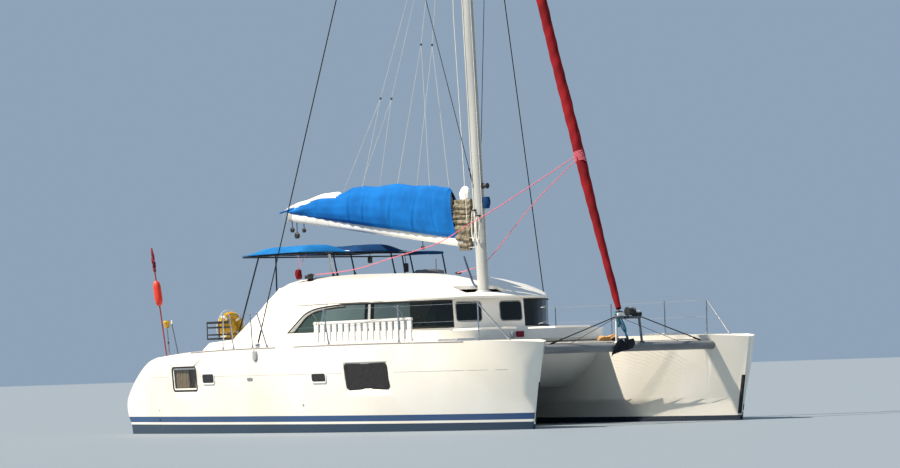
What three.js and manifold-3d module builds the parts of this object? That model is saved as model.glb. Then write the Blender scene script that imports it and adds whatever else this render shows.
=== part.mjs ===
// A 38 ft sailing catamaran with its sails furled, as an assembly of separate pieces.
// Millimetres. +X is forward, +Y to port, +Z up.
// The origin is amidships, on the centre plane, at the waterline.
import * as THREE from "three";
import { mergeVertices } from "three/addons/utils/BufferGeometryUtils.js";
import Module from "manifold-3d";

const wasm = await Module();
wasm.setup();

// Driving dimensions
const LENGTH = 11550;
const DRAFT = 1150;
const DECK = 1470; // side decks above the water
const TUNNEL = 1400; // half the space between the hulls
const FIT = 0.3; // gap between pieces that touch
const FLOOR = 850; // cockpit and saloon sole
const BULKHEAD = { aft: -1760, fore: -1700 };
const LIP = 2190; // where the roof meets the cabin sides
const RAKE = 0.04; // mast lean, aft per unit of height
const BOW = LENGTH / 2;
const SIDES = { starboard: -1, port: 1 };

// Paint and materials: colour, roughness, metalness
const GELCOAT = [0xf2efe6, 0.3, 0];
const NONSKID = [0xdedbd0, 0.8, 0];
const GLASS = [0x1c2629, 0.1, 0];
const ALUMINIUM = [0xc9ccd0, 0.4, 0.8];
const STEEL = [0xb9bcc0, 0.25, 1];
const IRON = [0x3a3f44, 0.6, 0.6];
const BLUE_CANVAS = [0x1f6fc4, 0.9, 0];
const RED_CANVAS = [0x8f1d2c, 0.9, 0];
const NET = [0x2b2e33, 0.95, 0];
const BLACK = [0x17181a, 0.6, 0];
const ORANGE = [0xf0551e, 0.7, 0];
const YELLOW = [0xd9a521, 0.7, 0];
const ANTIFOULING = [0x1d3f63, 0.8, 0];
const UPHOLSTERY = [0xcabfa6, 0.9, 0];
const BRONZE = [0x8a6f3c, 0.35, 1];

const catamaran = new THREE.Group();

// Joining and cutting

function toSolid(geometry) {
  const bare = geometry.index ? geometry.toNonIndexed() : geometry.clone();
  bare.deleteAttribute("normal");
  bare.deleteAttribute("uv");
  const merged = mergeVertices(bare, 1e-3);
  const vertProperties = new Float32Array(merged.attributes.position.array);
  const triVerts = new Uint32Array(merged.index.array);
  const mesh = new wasm.Mesh({ numProp: 3, vertProperties, triVerts });
  return new wasm.Manifold(mesh);
}

function toGeometry(solid) {
  const mesh = solid.getMesh();
  const geometry = new THREE.BufferGeometry();
  geometry.setAttribute("position", new THREE.BufferAttribute(new Float32Array(mesh.vertProperties), 3));
  geometry.setIndex(new THREE.BufferAttribute(new Uint32Array(mesh.triVerts), 1));
  const flat = geometry.toNonIndexed();
  flat.computeVertexNormals();
  return flat;
}

function join(...solids) {
  return solids.reduce((whole, next) => whole.add(next));
}

function cut(solid, ...tools) {
  return tools.reduce((whole, tool) => whole.subtract(tool), solid);
}

// The same solid on the other side of the centre plane
function mirrored(solid) {
  const geometry = toGeometry(solid);
  geometry.scale(1, -1, 1);
  const position = geometry.attributes.position;
  const a = new THREE.Vector3();
  const b = new THREE.Vector3();
  for (let i = 0; i < position.count; i += 3) {
    a.fromBufferAttribute(position, i + 1);
    b.fromBufferAttribute(position, i + 2);
    position.setXYZ(i + 1, b.x, b.y, b.z);
    position.setXYZ(i + 2, a.x, a.y, a.z);
  }
  return toSolid(geometry);
}

function onSide(side, portSolid) {
  return SIDES[side] > 0 ? portSolid : mirrored(portSolid);
}

function place(name, solid, [color, roughness, metalness]) {
  const material = new THREE.MeshStandardMaterial({ color, roughness, metalness });
  const mesh = new THREE.Mesh(toGeometry(solid), material);
  mesh.name = name;
  catamaran.add(mesh);
}

// Basic shapes

function box(x0, x1, y0, y1, z0, z1) {
  const geometry = new THREE.BoxGeometry(x1 - x0, y1 - y0, z1 - z0);
  geometry.translate((x0 + x1) / 2, (y0 + y1) / 2, (z0 + z1) / 2);
  return toSolid(geometry);
}

// An outline extruded along one axis: (y, z) along x, (x, z) along y or (x, y) along z
function prism(axis, outline, from, to) {
  const points = outline.map(([a, b]) => new THREE.Vector2(a, b));
  const depth = to - from;
  const geometry = new THREE.ExtrudeGeometry(new THREE.Shape(points), { depth, bevelEnabled: false });
  if (axis === "x") {
    const [i, j, k] = [new THREE.Vector3(0, 1, 0), new THREE.Vector3(0, 0, 1), new THREE.Vector3(1, 0, 0)];
    geometry.applyMatrix4(new THREE.Matrix4().makeBasis(i, j, k));
    geometry.translate(from, 0, 0);
  } else if (axis === "y") {
    geometry.rotateX(Math.PI / 2);
    geometry.translate(0, to, 0);
  } else {
    geometry.translate(0, 0, from);
  }
  return toSolid(geometry);
}

// A rectangle with round corners, as an outline for prism
function rounded(a0, a1, b0, b1, radius, steps = 3) {
  const corners = [[a1 - radius, b1 - radius, 0], [a0 + radius, b1 - radius, 1],
    [a0 + radius, b0 + radius, 2], [a1 - radius, b0 + radius, 3]];
  return corners.flatMap(([a, b, quarter]) => Array.from({ length: steps + 1 }, (_, i) => {
    const angle = (quarter + i / steps) * Math.PI / 2;
    return [a + radius * Math.cos(angle), b + radius * Math.sin(angle)];
  }));
}

// An outline moved outwards by a distance, or inwards if it is negative
function offset(outline, distance) {
  const points = outline.map(([a, b]) => new THREE.Vector2(a, b));
  const turn = Math.sign(THREE.ShapeUtils.area(points));
  const normal = (i) => {
    const edge = points[(i + 1) % points.length].clone().sub(points.at(i)).normalize();
    return new THREE.Vector2(edge.y, -edge.x).multiplyScalar(turn);
  };
  return points.map((point, i) => {
    const miter = normal(i).add(normal(i - 1));
    const moved = point.clone().addScaledVector(miter, distance * 2 / miter.lengthSq());
    return [moved.x, moved.y];
  });
}

// A straight rod between two points, tapered if two radii are given
function rod(start, end, radius, endRadius = radius, sides = 8) {
  const a = new THREE.Vector3(...start);
  const b = new THREE.Vector3(...end);
  const geometry = new THREE.CylinderGeometry(endRadius, radius, a.distanceTo(b), sides);
  const turn = new THREE.Quaternion().setFromUnitVectors(
    new THREE.Vector3(0, 1, 0), b.clone().sub(a).normalize());
  geometry.applyQuaternion(turn);
  geometry.translate((a.x + b.x) / 2, (a.y + b.y) / 2, (a.z + b.z) / 2);
  return toSolid(geometry);
}

function rods(points, radius, sides = 6) {
  return join(...points.slice(1).map((point, i) => rod(points[i], point, radius, radius, sides)));
}

// A turned shape on a vertical axis; the profile holds (radius, height)
function turned(profile, x, y, sides = 12) {
  const points = profile.map(([radius, height]) => new THREE.Vector2(radius, height));
  const geometry = new THREE.LatheGeometry(points, sides);
  geometry.rotateX(Math.PI / 2);
  geometry.translate(x, y, 0);
  return toSolid(geometry);
}

// A loft's end, closed from its first corner
function flatEnd(count) {
  return Array.from({ length: count - 2 }, (_, i) => [0, i + 1, i + 2]);
}

// The end of a thin arch, closed straight across from its outer to its inner edge
function archEnd(count) {
  return Array.from({ length: count / 2 - 1 }, (_, i) => {
    const [a, b, c, d] = [i, i + 1, count - 2 - i, count - 1 - i];
    return [[a, b, c], [a, c, d]];
  }).flat();
}

// A skin over rings that have the same number of points, closed at both ends
function loft(rings, arched = false) {
  const count = rings[0].length;
  const positions = rings.flat();
  const faces = [];
  for (let r = 0; r < rings.length - 1; r++) {
    for (let i = 0; i < count; i++) {
      const j = (i + 1) % count;
      const [a, b, c, d] = [r * count + i, r * count + j, (r + 1) * count + j, (r + 1) * count + i];
      faces.push([a, b, c], [a, c, d]);
    }
  }
  const last = (rings.length - 1) * count;
  for (const [a, b, c] of arched ? archEnd(count) : flatEnd(count)) {
    faces.push([a, c, b], [last + a, last + b, last + c]);
  }
  const corner = (i) => new THREE.Vector3(...positions[i]);
  const volume = faces.reduce((sum, [a, b, c]) => sum + corner(a).dot(corner(b).cross(corner(c))), 0);
  const facing = volume > 0 ? faces : faces.map(([a, b, c]) => [a, c, b]);
  const geometry = new THREE.BufferGeometry();
  geometry.setAttribute("position", new THREE.Float32BufferAttribute(positions.flat(), 3));
  geometry.setIndex(facing.flat());
  return toSolid(geometry);
}

// A table of sections with more of them between, on smooth curves that never pass the values in the table
function smoothed(sections, spacing) {
  const keys = Object.keys(sections[0]);
  const secant = (key, i) => {
    const [a, b] = [sections[i], sections[i + 1]];
    return (b[key] - a[key]) / (b.x - a.x);
  };
  const slope = (key, i) => {
    if (i === 0 || i === sections.length - 1) return secant(key, Math.min(i, sections.length - 2));
    const [before, after] = [secant(key, i - 1), secant(key, i)];
    return before * after > 0 ? 2 * before * after / (before + after) : 0;
  };
  const between = (i, t) => Object.fromEntries(keys.map((key) => {
    const [a, b] = [sections[i], sections[i + 1]];
    const width = b.x - a.x;
    const rise = a[key] * (1 + 2 * t) * (1 - t) ** 2 + b[key] * t * t * (3 - 2 * t);
    const bend = slope(key, i) * t * (1 - t) ** 2 - slope(key, i + 1) * t * t * (1 - t);
    return [key, key === "x" ? a.x + width * t : rise + bend * width];
  }));
  const inner = sections.slice(0, -1).flatMap((section, i) => {
    const steps = Math.max(1, Math.round(Math.abs(sections[i + 1].x - section.x) / spacing));
    return Array.from({ length: steps }, (_, k) => between(i, k / steps));
  });
  return [...inner, sections.at(-1)];
}

// Points along a smooth curve through the given ones
function curve(points, count) {
  const through = points.map(([a, b]) => new THREE.Vector2(a, b));
  return new THREE.SplineCurve(through).getPoints(count).map((point) => [point.x, point.y]);
}

// Hulls

// Sections of the port hull, from the stern to the stem. Columns: place at the waterline; lean, the forward
// shift per unit of height; y of the deck edge, of the waterline outside and inside, of the chine over the
// tunnel and of the inner deck edge; deck height; depth of the canoe body.
const STEM = { x: 5475, top: 1390 };
const HULL_SECTIONS = [
  [-5900, 0, 2860, 2750, 1640, 1570, 1560, 1310, 70],
  [-5000, 0, 2960, 2840, 1600, 1480, 1470, 1345, 180],
  [-4250, 0, 3060, 2920, 1560, TUNNEL, TUNNEL, 1375, 300],
  [-3100, 0, 3160, 3010, 1520, TUNNEL, TUNNEL, 1440, 430],
  [-1200, 0, 3245, 3080, 1490, TUNNEL, TUNNEL, DECK, 500],
  [500, 0, 3265, 3090, 1490, TUNNEL, TUNNEL, DECK, 500],
  [1700, 0, 3260, 3040, 1520, TUNNEL, TUNNEL, DECK, 460],
  [2900, 0, 3185, 2920, 1610, TUNNEL, TUNNEL, 1465, 390],
  [4100, 0.05, 3000, 2700, 1780, 1640, 1540, 1450, 280],
  [4950, 0.12, 2720, 2460, 1970, 1900, 1740, 1440, 160],
  [5330, 0.19, 2450, 2290, 2110, 2090, 1980, 1410, 70],
  [STEM.x, (BOW - STEM.x) / STEM.top, 2228, 2222, 2168, 2166, 2162, STEM.top, 8],
].map(([x, lean, edge, out, inside, chine, inner, deck, depth]) => {
  return { x, lean, edge, out, inside, chine, inner, deck, depth };
});
const CHINE = { low: 300, high: 400 };
const BILGE_STEPS = 8;

const TOPSIDE_SHARES = [0.8, 0.6, 0.4, 0.2]; // heights, as shares of the deck's, where the topsides bend
const HULL_SPACING = 560;
const BILGE_FULLNESS = 0.8; // power of the underwater curve; less is boxier

function hullRing(s, grow) {
  const middle = (s.out + s.inside) / 2;
  const half = (s.out - s.inside) / 2 + grow;
  const side = (height) => s.out + (s.edge - s.out) * Math.sin(height / s.deck * Math.PI / 2) + grow;
  const topsides = TOPSIDE_SHARES.map((share) => [side(s.deck * share), s.deck * share]);
  const below = Array.from({ length: BILGE_STEPS + 1 }, (_, i) => {
    const angle = i / BILGE_STEPS * Math.PI;
    return [middle + half * Math.cos(angle), -(s.depth + grow) * Math.sin(angle) ** BILGE_FULLNESS];
  });
  const tunnel = [[s.inside - (s.inside - s.chine) * 0.3 - grow, CHINE.low], [s.chine - grow, CHINE.high],
    [s.inner - grow, s.deck + grow]];
  const outline = [[side(s.deck), s.deck + grow], ...topsides, ...below, ...tunnel];
  return outline.map(([y, z]) => [s.x + s.lean * z, y, z]);
}

function hullLoft(grow = 0) {
  return loft(smoothed(HULL_SECTIONS, HULL_SPACING).map((section) => hullRing(section, grow)));
}

// Everything aft of and above the stern's curved side, as a tool
const STERN_CURVE = [[-5690, 180], [-5755, 310], [-BOW, 440], [-5750, 570], [-5670, 690], [-5390, 930],
  [-5030, 1160], [-4710, 1300], [-4370, 1365]];
const OVER = 2200; // height over all decks, where the tools that cut into them end
const SHEER_DROP = 70; // how much lower than amidships the deck is over the wells
const STEPS = [{ from: -4700, top: 1090 }, { from: -4950, top: 760 }, { from: -5210, top: 430 }];
const STEP_WELL = { inner: 1690, outer: 2640 };

// Openings in the decks, with the lids over them: x range, y range, depth of the well
const HATCHES = {
  cabin_hatch: { x: [3350, 3850], y: [1950, 2450], deep: 300 },
  engine_hatch: { x: [-4620, -4030], y: [1750, 2350], deep: 1250 },
};
const LID = 35; // thickness of a lid
const COAMING = 30; // how much a lid overlaps its opening
const SIDE_WINDOWS = [{ x: [-3800, -2920], z: [760, 1180] }, { x: [1750, 2850], z: [720, 1130] }];
const WINDOW_CORNER = 60;
const WINDOW_DEPTH = 2980; // y of the window recesses' inner face
const RUDDER = { x: -4850, y: 2200, radius: 25, top: 90 };
const CROSSBEAM = { x: 5200, z: 1270, radius: 75, end: 2000 };
const BEAM_SIDES = 16;

function hull() {
  const behind = [[-4330, 1500], [-4330, OVER], [-6500, OVER], [-6500, -400], [-5690, -400]];
  const sternTool = prism("y", [...curve(STERN_CURVE, 20), ...behind], 1000, 3500);
  const steps = STEPS.map(({ from, top }) => box(-6500, from, STEP_WELL.inner, STEP_WELL.outer, top, OVER));
  const wells = Object.values(HATCHES).map(({ x, y, deep }) => box(...x, ...y, wellFloor(deep), OVER));
  const windows = SIDE_WINDOWS.map(({ x, z }) => {
    return prism("y", rounded(...x, ...z, WINDOW_CORNER), WINDOW_DEPTH, 3500);
  });
  const stockHole = RUDDER.radius * 1.02 + FIT;
  const stockTop = [RUDDER.x, RUDDER.y, RUDDER.top + FIT];
  const stock = rod([RUDDER.x, RUDDER.y, -400], stockTop, stockHole, stockHole, 24);
  const socket = beamTube(CROSSBEAM.radius + FIT, CROSSBEAM.end + FIT);
  return cut(hullLoft(), sternTool, ...steps, ...wells, ...windows, stock, socket);
}

function wellFloor(deep) {
  return DECK - SHEER_DROP - deep;
}

function beamTube(radius, end) {
  const { x, z } = CROSSBEAM;
  return rod([x, -end, z], [x, end, z], radius, radius, BEAM_SIDES);
}

// Bridgedeck between the hulls: nacelle, sole, aft beam, and the block under the foredeck
const NACELLE = [[-4300, 640], [1700, 620], [1950, 650], [2200, 800], [2550, 1020], [2680, 1190],
  [2790, 1360], [2850, DECK - FIT], [1500, DECK - FIT], [1500, FLOOR], [-4150, FLOOR], [-4150, 1390],
  [-4300, 1390]];

function bridgedeck() {
  return prism("y", NACELLE, -TUNNEL + FIT, TUNNEL - FIT);
}

// Foredeck: the raised deck between the windscreen and the nets, with two lockers
const FOREDECK = { front: 2950, top: 1640 };
const FOREDECK_EDGE = [[1000, 2150], [2380, 1800], [2500, 1710], [2850, 1250], [2930, 700],
  [FOREDECK.front, 300]];
const LOCKER = { x: [2080, 2780], y: [420, 1180] };

function foredeck() {
  const starboard = FOREDECK_EDGE.map(([x, y]) => [x, -y]);
  const plan = [...starboard, ...[...FOREDECK_EDGE].reverse()];
  const wells = Object.values(SIDES).map((sign) => {
    const [near, far] = [...LOCKER.y].map((y) => y * sign).sort((a, b) => a - b);
    return box(...LOCKER.x, near, far, DECK + 20, 2000);
  });
  return cut(prism("z", plan, DECK + FIT, FOREDECK.top), cabinLoft(FIT), ...wells);
}

// Deckhouse

// Level rings of the cabin's outside: z, x of the flat front, its half width, half width at the sides and the
// power of the corner's curve, where 2 would be an ellipse and 1 a straight bevel
const CABIN_RINGS = [
  { z: DECK, front: 1760, flat: 850, side: 2330, corner: 1.33 },
  { z: 1690, front: 1680, flat: 850, side: 2230, corner: 1.38 },
  { z: LIP, front: 1640, flat: 850, side: 2100, corner: 1.58 },
];
const SHOULDER = 0; // x where the sides begin to turn in
const COCKPIT = { aft: -3960, half: 1950 };
const WALL = 50;

// Points of a curve from a flat front round to a straight side
function cornerCurve(front, flat, side, corner, steps = 9) {
  return Array.from({ length: steps + 1 }, (_, i) => {
    const angle = i / steps * Math.PI / 2;
    const x = SHOULDER + (front - SHOULDER) * Math.cos(angle) ** (2 / corner);
    const y = flat + (side - flat) * Math.sin(angle) ** (2 / corner);
    return [x, y];
  });
}

function cabinRing({ z, front, flat, side, corner }, grow, aft) {
  const port = [...cornerCurve(front + grow, flat, side + grow, corner), [aft, side + grow]];
  const starboard = port.map(([x, y]) => [x, -y]).reverse();
  return [...port, ...starboard].map(([x, y]) => [x, y, z]);
}

function cabinLoft(grow, aft = COCKPIT.aft, rise = 0) {
  const rings = CABIN_RINGS.map((ring) => cabinRing(ring, grow, aft));
  const top = rings.at(-1).map(([x, y, z]) => [x, y, z + rise]);
  const bottom = rings[0].map(([x, y, z]) => [x, y, z - rise]);
  return rise ? loft([bottom, ...rings, top]) : loft(rings);
}

// Side view of the cockpit's wings, the cabin and the roof's aft slope, as a closed outline
const WING_PROFILE = [[-3960, 1000], [-3960, DECK], [-3820, 1600], [-3060, 1645], [-3010, 1705],
  [-2776, 1860], [-2532, 2030], [-2225, 2270], [-2000, 2410], [-1940, 2900], [3000, 2900], [3000, 1000]];
const GLASS_ARCH = [[-1390, 1712], [-1130, 1905], [-980, 2015], [-840, 2068], [-680, 2105], [-380, 2135],
  [200, 2165]];
const SIDE_GLASS = [...curve(GLASS_ARCH, 12), [1720, 2165], [1720, 1712]];
const GLASS_INNER_END = { starboard: 880, port: 655 };
const FRONT_WINDOWS = { starboard: [-820, -270], port: [120, 600] };
const FRONT_WINDOW_Z = [1800, 2140];
const DOORWAY = { y: [-500, 380], z: [900, 2110] };
const DOOR = { track: -1812, low: 870, lap: 40, travel: [-1380, 440] };

// The side view's outline across the whole width, raised or lowered
function profileTool(rise) {
  return prism("y", WING_PROFILE.map(([x, z]) => [x, z + rise]), -3000, 3000);
}

function sideGlassTool(side, grow) {
  return onSide(side, prism("y", offset(SIDE_GLASS, grow), GLASS_INNER_END[side] - grow, 2600));
}

function frontWindowTool(side, grow) {
  const [y0, y1] = FRONT_WINDOWS[side];
  const [z0, z1] = FRONT_WINDOW_Z;
  return prism("x", rounded(y0 - grow, y1 + grow, z0 - grow, z1 + grow, 60 + grow), 1400, 2000);
}

function cabin() {
  const room = cabinLoft(-WALL, BULKHEAD.fore, 500);
  const cockpit = box(-4500, BULKHEAD.aft, -COCKPIT.half, COCKPIT.half, 1000, 3000);
  const bulkhead = box(BULKHEAD.aft, BULKHEAD.fore, -TUNNEL + FIT, TUNNEL - FIT, FLOOR + FIT, DECK + 30);
  const track = box(DOOR.track, BULKHEAD.aft + 10, ...DOOR.travel, FLOOR + FIT, DOOR.low - FIT);
  const doorway = box(-2000, -1500, ...DOORWAY.y, ...DOORWAY.z);
  const shell = cabinLoft(0, COCKPIT.aft, 90).intersect(profileTool(0));
  const windows = Object.keys(SIDES).flatMap((side) => [sideGlassTool(side, 0), frontWindowTool(side, 0)]);
  const middle = box(-5000, 3000, -TUNNEL - 10, TUNNEL + 10, 1000, DECK);
  const decks = join(middle, hullLoft(FIT), mirrored(hullLoft(FIT)));
  const hollow = cut(shell, room, cockpit, decks, box(-5000, 3000, -3000, 3000, LIP, 3000));
  return cut(join(hollow, bulkhead), doorway, ...windows).add(track);
}

// A thin skin that follows the cabin's outside, cut to a window's outline
function pane(tool, inset, thickness) {
  return cut(cabinLoft(-inset), cabinLoft(-inset - thickness, COCKPIT.aft, 100)).intersect(tool);
}

// Coachroof

// Cross sections from the windscreen aft: x, half width, crown height, and the power of the arch, where 2
// would be an ellipse and more is squarer
const ROOF_SECTIONS = [
  { x: 1700, half: 880, crown: 2235, power: 2 },
  { x: 1560, half: 1130, crown: 2290, power: 2 },
  { x: 1300, half: 1450, crown: 2365, power: 2 },
  { x: 850, half: 1800, crown: 2500, power: 2.1 },
  { x: 130, half: 2105, crown: 2640, power: 2.3 },
  { x: -800, half: 2115, crown: 2715, power: 2.7 },
  { x: -1700, half: 2101, crown: 2735, power: 3 },
  { x: -2600, half: 2101, crown: 2720, power: 3 },
];
const ROOF_SKIN = 60;
const ROOF_LIP = 30; // height of the roof's upright edge
const ROOF_STEPS = 14;
const ROOF_SPACING = 320;
const ROOF_AFT = -1930;
const MAST_FOOT = { x: 1370, z: 2300 };
const RECESS = { x: [1100, 1560], half: 480 }; // level floor round the mast's foot, open to the front

function roofRing({ x, half, crown, power }, inset) {
  const edge = half - inset;
  const spring = LIP + ROOF_LIP;
  const rise = crown - inset - spring;
  const arch = Array.from({ length: ROOF_STEPS + 1 }, (_, i) => {
    const angle = i / ROOF_STEPS * Math.PI;
    const reach = Math.abs(Math.cos(angle)) ** (2 / power) * Math.sign(Math.cos(angle));
    return [edge * reach, spring + rise * Math.sin(angle) ** (2 / power)];
  });
  const base = inset ? LIP - 200 : LIP + FIT;
  return [[edge, base], ...arch, [-edge, base]].map(([y, z]) => [x, y, z]);
}

function coachroof() {
  const sections = smoothed(ROOF_SECTIONS, ROOF_SPACING);
  const outer = loft(sections.map((section) => roofRing(section, 0))).intersect(profileTool(0));
  const under = loft(sections.slice(1, -1).map((section) => roofRing(section, ROOF_SKIN)));
  const room = under.intersect(profileTool(-ROOF_SKIN));
  const cockpit = box(-3000, ROOF_AFT, -COCKPIT.half, COCKPIT.half, 2000, 3000);
  const porch = box(ROOF_AFT - 100, BULKHEAD.aft, -1800, 1800, 2000, 2300);
  const [x0, x1] = RECESS.x;
  const step = box(x0 - 40, x1 + 20, -RECESS.half - 40, RECESS.half + 40, MAST_FOOT.z - 70, MAST_FOOT.z);
  const recess = box(x0, x1 + 400, -RECESS.half, RECESS.half, MAST_FOOT.z, 3000);
  const bulkhead = box(BULKHEAD.aft, BULKHEAD.fore, -3000, 3000, LIP + FIT, 3000);
  const shell = cut(outer, room, cockpit, porch);
  return cut(join(shell, step.intersect(outer), bulkhead.intersect(outer)), recess);
}

// Under the water

// A fin of foil sections: height, leading edge, trailing edge, half thickness
function fin(y, sections) {
  const foil = [[1, 0], [0.7, 0.55], [0.35, 1], [0.1, 0.72], [0, 0]];
  const around = [...foil, ...foil.slice(1, -1).reverse().map(([along, half]) => [along, -half])];
  return loft(sections.map(([z, lead, trail, half]) => around.map(([along, across]) => {
    return [lead + (trail - lead) * along, y + half * across, z];
  })));
}

function keel() {
  const sections = [[-300, 950, -1500, 150], [-900, 700, -1400, 115], [-DRAFT, 560, -1330, 70]];
  return cut(fin(2285, sections), hullLoft(FIT));
}

function rudder() {
  const blade = fin(RUDDER.y, [[-265, -4680, -5180, 45], [-950, -4740, -5080, 26]]);
  const { x, y, radius, top } = RUDDER;
  return join(blade, rod([x, y, -500], [x, y, top], radius, radius, 24));
}

const DRIVE = { x: -3950, y: 2240, z: -700 };

function saildrive() {
  const { x, y, z } = DRIVE;
  const leg = fin(y, [[-250, x + 150, x - 130, 45], [z, x + 110, x - 110, 38]]);
  const pod = rod([x - 190, y, z], [x + 150, y, z], 55, 30, 12);
  return cut(join(leg, pod), hullLoft(FIT));
}

function propeller() {
  const { x, y, z } = DRIVE;
  const hub = rod([x - 330, y, z], [x - 190 - FIT, y, z], 22, 50, 12);
  const blades = [0, 1, 2].map((i) => {
    const angle = i * Math.PI * 2 / 3;
    const [c, s] = [Math.cos(angle), Math.sin(angle)];
    const at = (radial, across, along) => {
      return [x - 250 + along, y + radial * c - across * s, z + radial * s + across * c];
    };
    const ring = (radial, chord, twist) => [[-1, -1], [1, -1], [1, 1], [-1, 1]].map(([u, v]) => {
      const across = chord * Math.cos(twist) * u + 3 * v * Math.sin(twist);
      const along = -chord * Math.sin(twist) * u + 3 * v * Math.cos(twist);
      return at(radial, across, along);
    });
    return loft([ring(20, 28, 0.95), ring(90, 55, 0.7), ring(160, 58, 0.5), ring(205, 22, 0.42)]);
  });
  return join(hub, ...blades);
}

const ENGINE = { width: 440, top: 700, clear: 60 };

function engine() {
  const { x, y, deep } = HATCHES.engine_hatch;
  const middle = (y[0] + y[1]) / 2;
  const { width, top, clear } = ENGINE;
  const floor = wellFloor(deep) + FIT;
  return box(x[0] + clear, x[1] - clear, middle - width / 2, middle + width / 2, floor, top);
}

// Foredeck gear

const NET_Z = [1360, 1372];
const CENTRE_BEAM = { half: 55, z: [1285, 1395] };

// The striker is a low portal on the crossbeam, which carries the forestay and the striker's wires
const STRIKER = { x: 5200, feet: [-205, 335], heads: [-195, 285], ends: [-215, 310], bar: 30, top: 1757 };
const SPOOL = { y: [35, 175], z: 1848, radius: 76 };
const SHEAVE = { y: [215, 325], z: 1806, radius: 36 };
const DRUM_X = 5030;
const ANCHOR = { x: 5345, y: -120, z: 1402, shank: 18 };
const ROLLER = { gap: 16, cheek: 8, reach: 130, radius: 18 };

function crossbeam() {
  const { x, feet, heads, ends: [near, far], bar, top } = STRIKER;
  const legs = feet.map((y, i) => rod([x, y, 1300], [x, heads[i], top], 22, 20));
  const plate = box(DRUM_X - 45, x + bar, -60, 60, top - 25, top + 20);
  const cap = box(x - bar, x + bar, near, far, top - 25, top + 20);
  const reels = [SPOOL, SHEAVE].map(({ y: [y0, y1], z, radius }) => {
    return rod([x, y0, z], [x, y1, z], radius, radius, 16);
  });
  const { gap, cheek, reach, radius } = ROLLER;
  const { y, z, shank } = ANCHOR;
  const cheeks = [[-gap - cheek, -gap], [gap, gap + cheek]].map(([y0, y1]) => {
    return box(x, x + reach, y + y0, y + y1, CROSSBEAM.z, z + shank);
  });
  const axle = [x + reach - 30, z - shank - FIT - radius];
  const axleEnds = [y - gap - 4, y + gap + 4].map((at) => [axle[0], at, axle[1]]);
  const roller = rod(...axleEnds, radius, radius, 12);
  const striker = [...legs, plate, cap, ...reels];
  return join(beamTube(CROSSBEAM.radius, CROSSBEAM.end), ...striker, ...cheeks, roller);
}

function centreBeam() {
  const { half, z } = CENTRE_BEAM;
  const beam = box(2780, CROSSBEAM.x - CROSSBEAM.radius + 20, -half, half, ...z);
  return cut(beam, beamTube(CROSSBEAM.radius + FIT, 500), prism("y", NACELLE, -500, 500), nacelleSkin());
}

// The front of the nacelle moved forward by the fitting gap, as a tool
function nacelleSkin() {
  return prism("y", NACELLE.map(([x, z]) => [x + FIT, z]), -TUNNEL, TUNNEL);
}

function trampoline() {
  const inner = CENTRE_BEAM.half + FIT;
  const plan = [[2700, inner], [5110, inner], [5110, 2300], [2700, 2300]];
  const sheet = prism("z", plan, ...NET_Z);
  return cut(sheet, hullLoft(FIT), nacelleSkin());
}

// Rungs across the plough's two blades, seen from ahead, each as two (y, z) points: from the middle outward
const BLADES = [
  [[[-150, 1330], [-215, 1205]], [[-225, 1405], [-300, 1180]], [[-290, 1375], [-370, 1160]],
    [[-385, 1215], [-402, 1130]]],
  [[[-150, 1330], [-215, 1205]], [[-60, 1395], [-90, 1222]], [[45, 1408], [30, 1250]],
    [[95, 1352], [92, 1315]]],
];
const BLADE_THICKNESS = 14;
const BLADE_SWEEP = 60; // how far the blades' outer ends lie aft of the middle
const CROWN = { depth: 150, out: 30 }; // the shank's front end, below its axis and ahead of its x

function anchor() {
  const { x, y, z, shank: half } = ANCHOR;
  const { depth, out } = CROWN;
  const side = [[x - 420, z - half], [x - 20, z - half], [x + 8, z - depth], [x + out, z - depth],
    [x + out, z + half], [x - 420, z + half]];
  const shank = prism("y", side, y - 12, y + 12);
  const blades = BLADES.map((rungs) => {
    const rings = rungs.map(([[y0, z0], [y1, z1]], i) => {
      const front = x + out - BLADE_SWEEP * i / (rungs.length - 1);
      const back = front - BLADE_THICKNESS;
      return [[front, y0, z0], [front, y1, z1], [back, y1, z1], [back, y0, z0]];
    });
    return loft(rings);
  });
  return join(shank, ...blades);
}

const WINDLASS_X = 1950;

function windlass() {
  const profile = [[0, 0], [110, 0], [110, 18], [55, 26], [55, 50], [80, 56], [80, 66], [0, 66]];
  return turned(profile.map(([radius, up]) => [radius, FOREDECK.top + FIT + up]), WINDLASS_X, 0);
}

// Spars and standing rigging

const MAST = { top: 16600, along: 120, across: 84, sides: 16 };
const HOUNDS = 15280;
const SPREADER = { z: 10400, back: 650, out: 1160 };
const CHAINPLATE = { x: -890, y: 3190 };

function mastX(z) {
  return MAST_FOOT.x - (z - MAST_FOOT.z) * RAKE;
}

function mastLoft(grow = 0) {
  return loft([[MAST_FOOT.z + FIT, 1], [HOUNDS, 1], [MAST.top, 0.7]].map(([z, size]) => {
    return Array.from({ length: MAST.sides }, (_, i) => {
      const angle = i / MAST.sides * Math.PI * 2;
      const along = (MAST.along * size + grow) * Math.cos(angle);
      const across = (MAST.across * size + grow) * Math.sin(angle);
      return [mastX(z) + along, across, z];
    });
  }));
}

// The boom's fitting on the mast: the swing pin is vertical, the lift pin lies across
const GOOSENECK = { z: 3170, swing: 1060, lift: 985, pin: 12 };

function mast() {
  const spreaders = Object.values(SIDES).map((sign) => {
    const root = mastX(SPREADER.z);
    return rod([root, 0, SPREADER.z], [root - SPREADER.back, SPREADER.out * sign, SPREADER.z + 60], 38, 20);
  });
  const lugs = [75, -90].map((rise) => {
    const low = GOOSENECK.z + rise;
    return box(GOOSENECK.swing - 35, mastX(GOOSENECK.z), -35, 35, low, low + 15);
  });
  const crane = box(mastX(MAST.top) - 190, mastX(MAST.top) + 150, -30, 30, MAST.top - 60, MAST.top);
  return join(mastLoft(), ...spreaders, ...lugs, crane);
}

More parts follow.
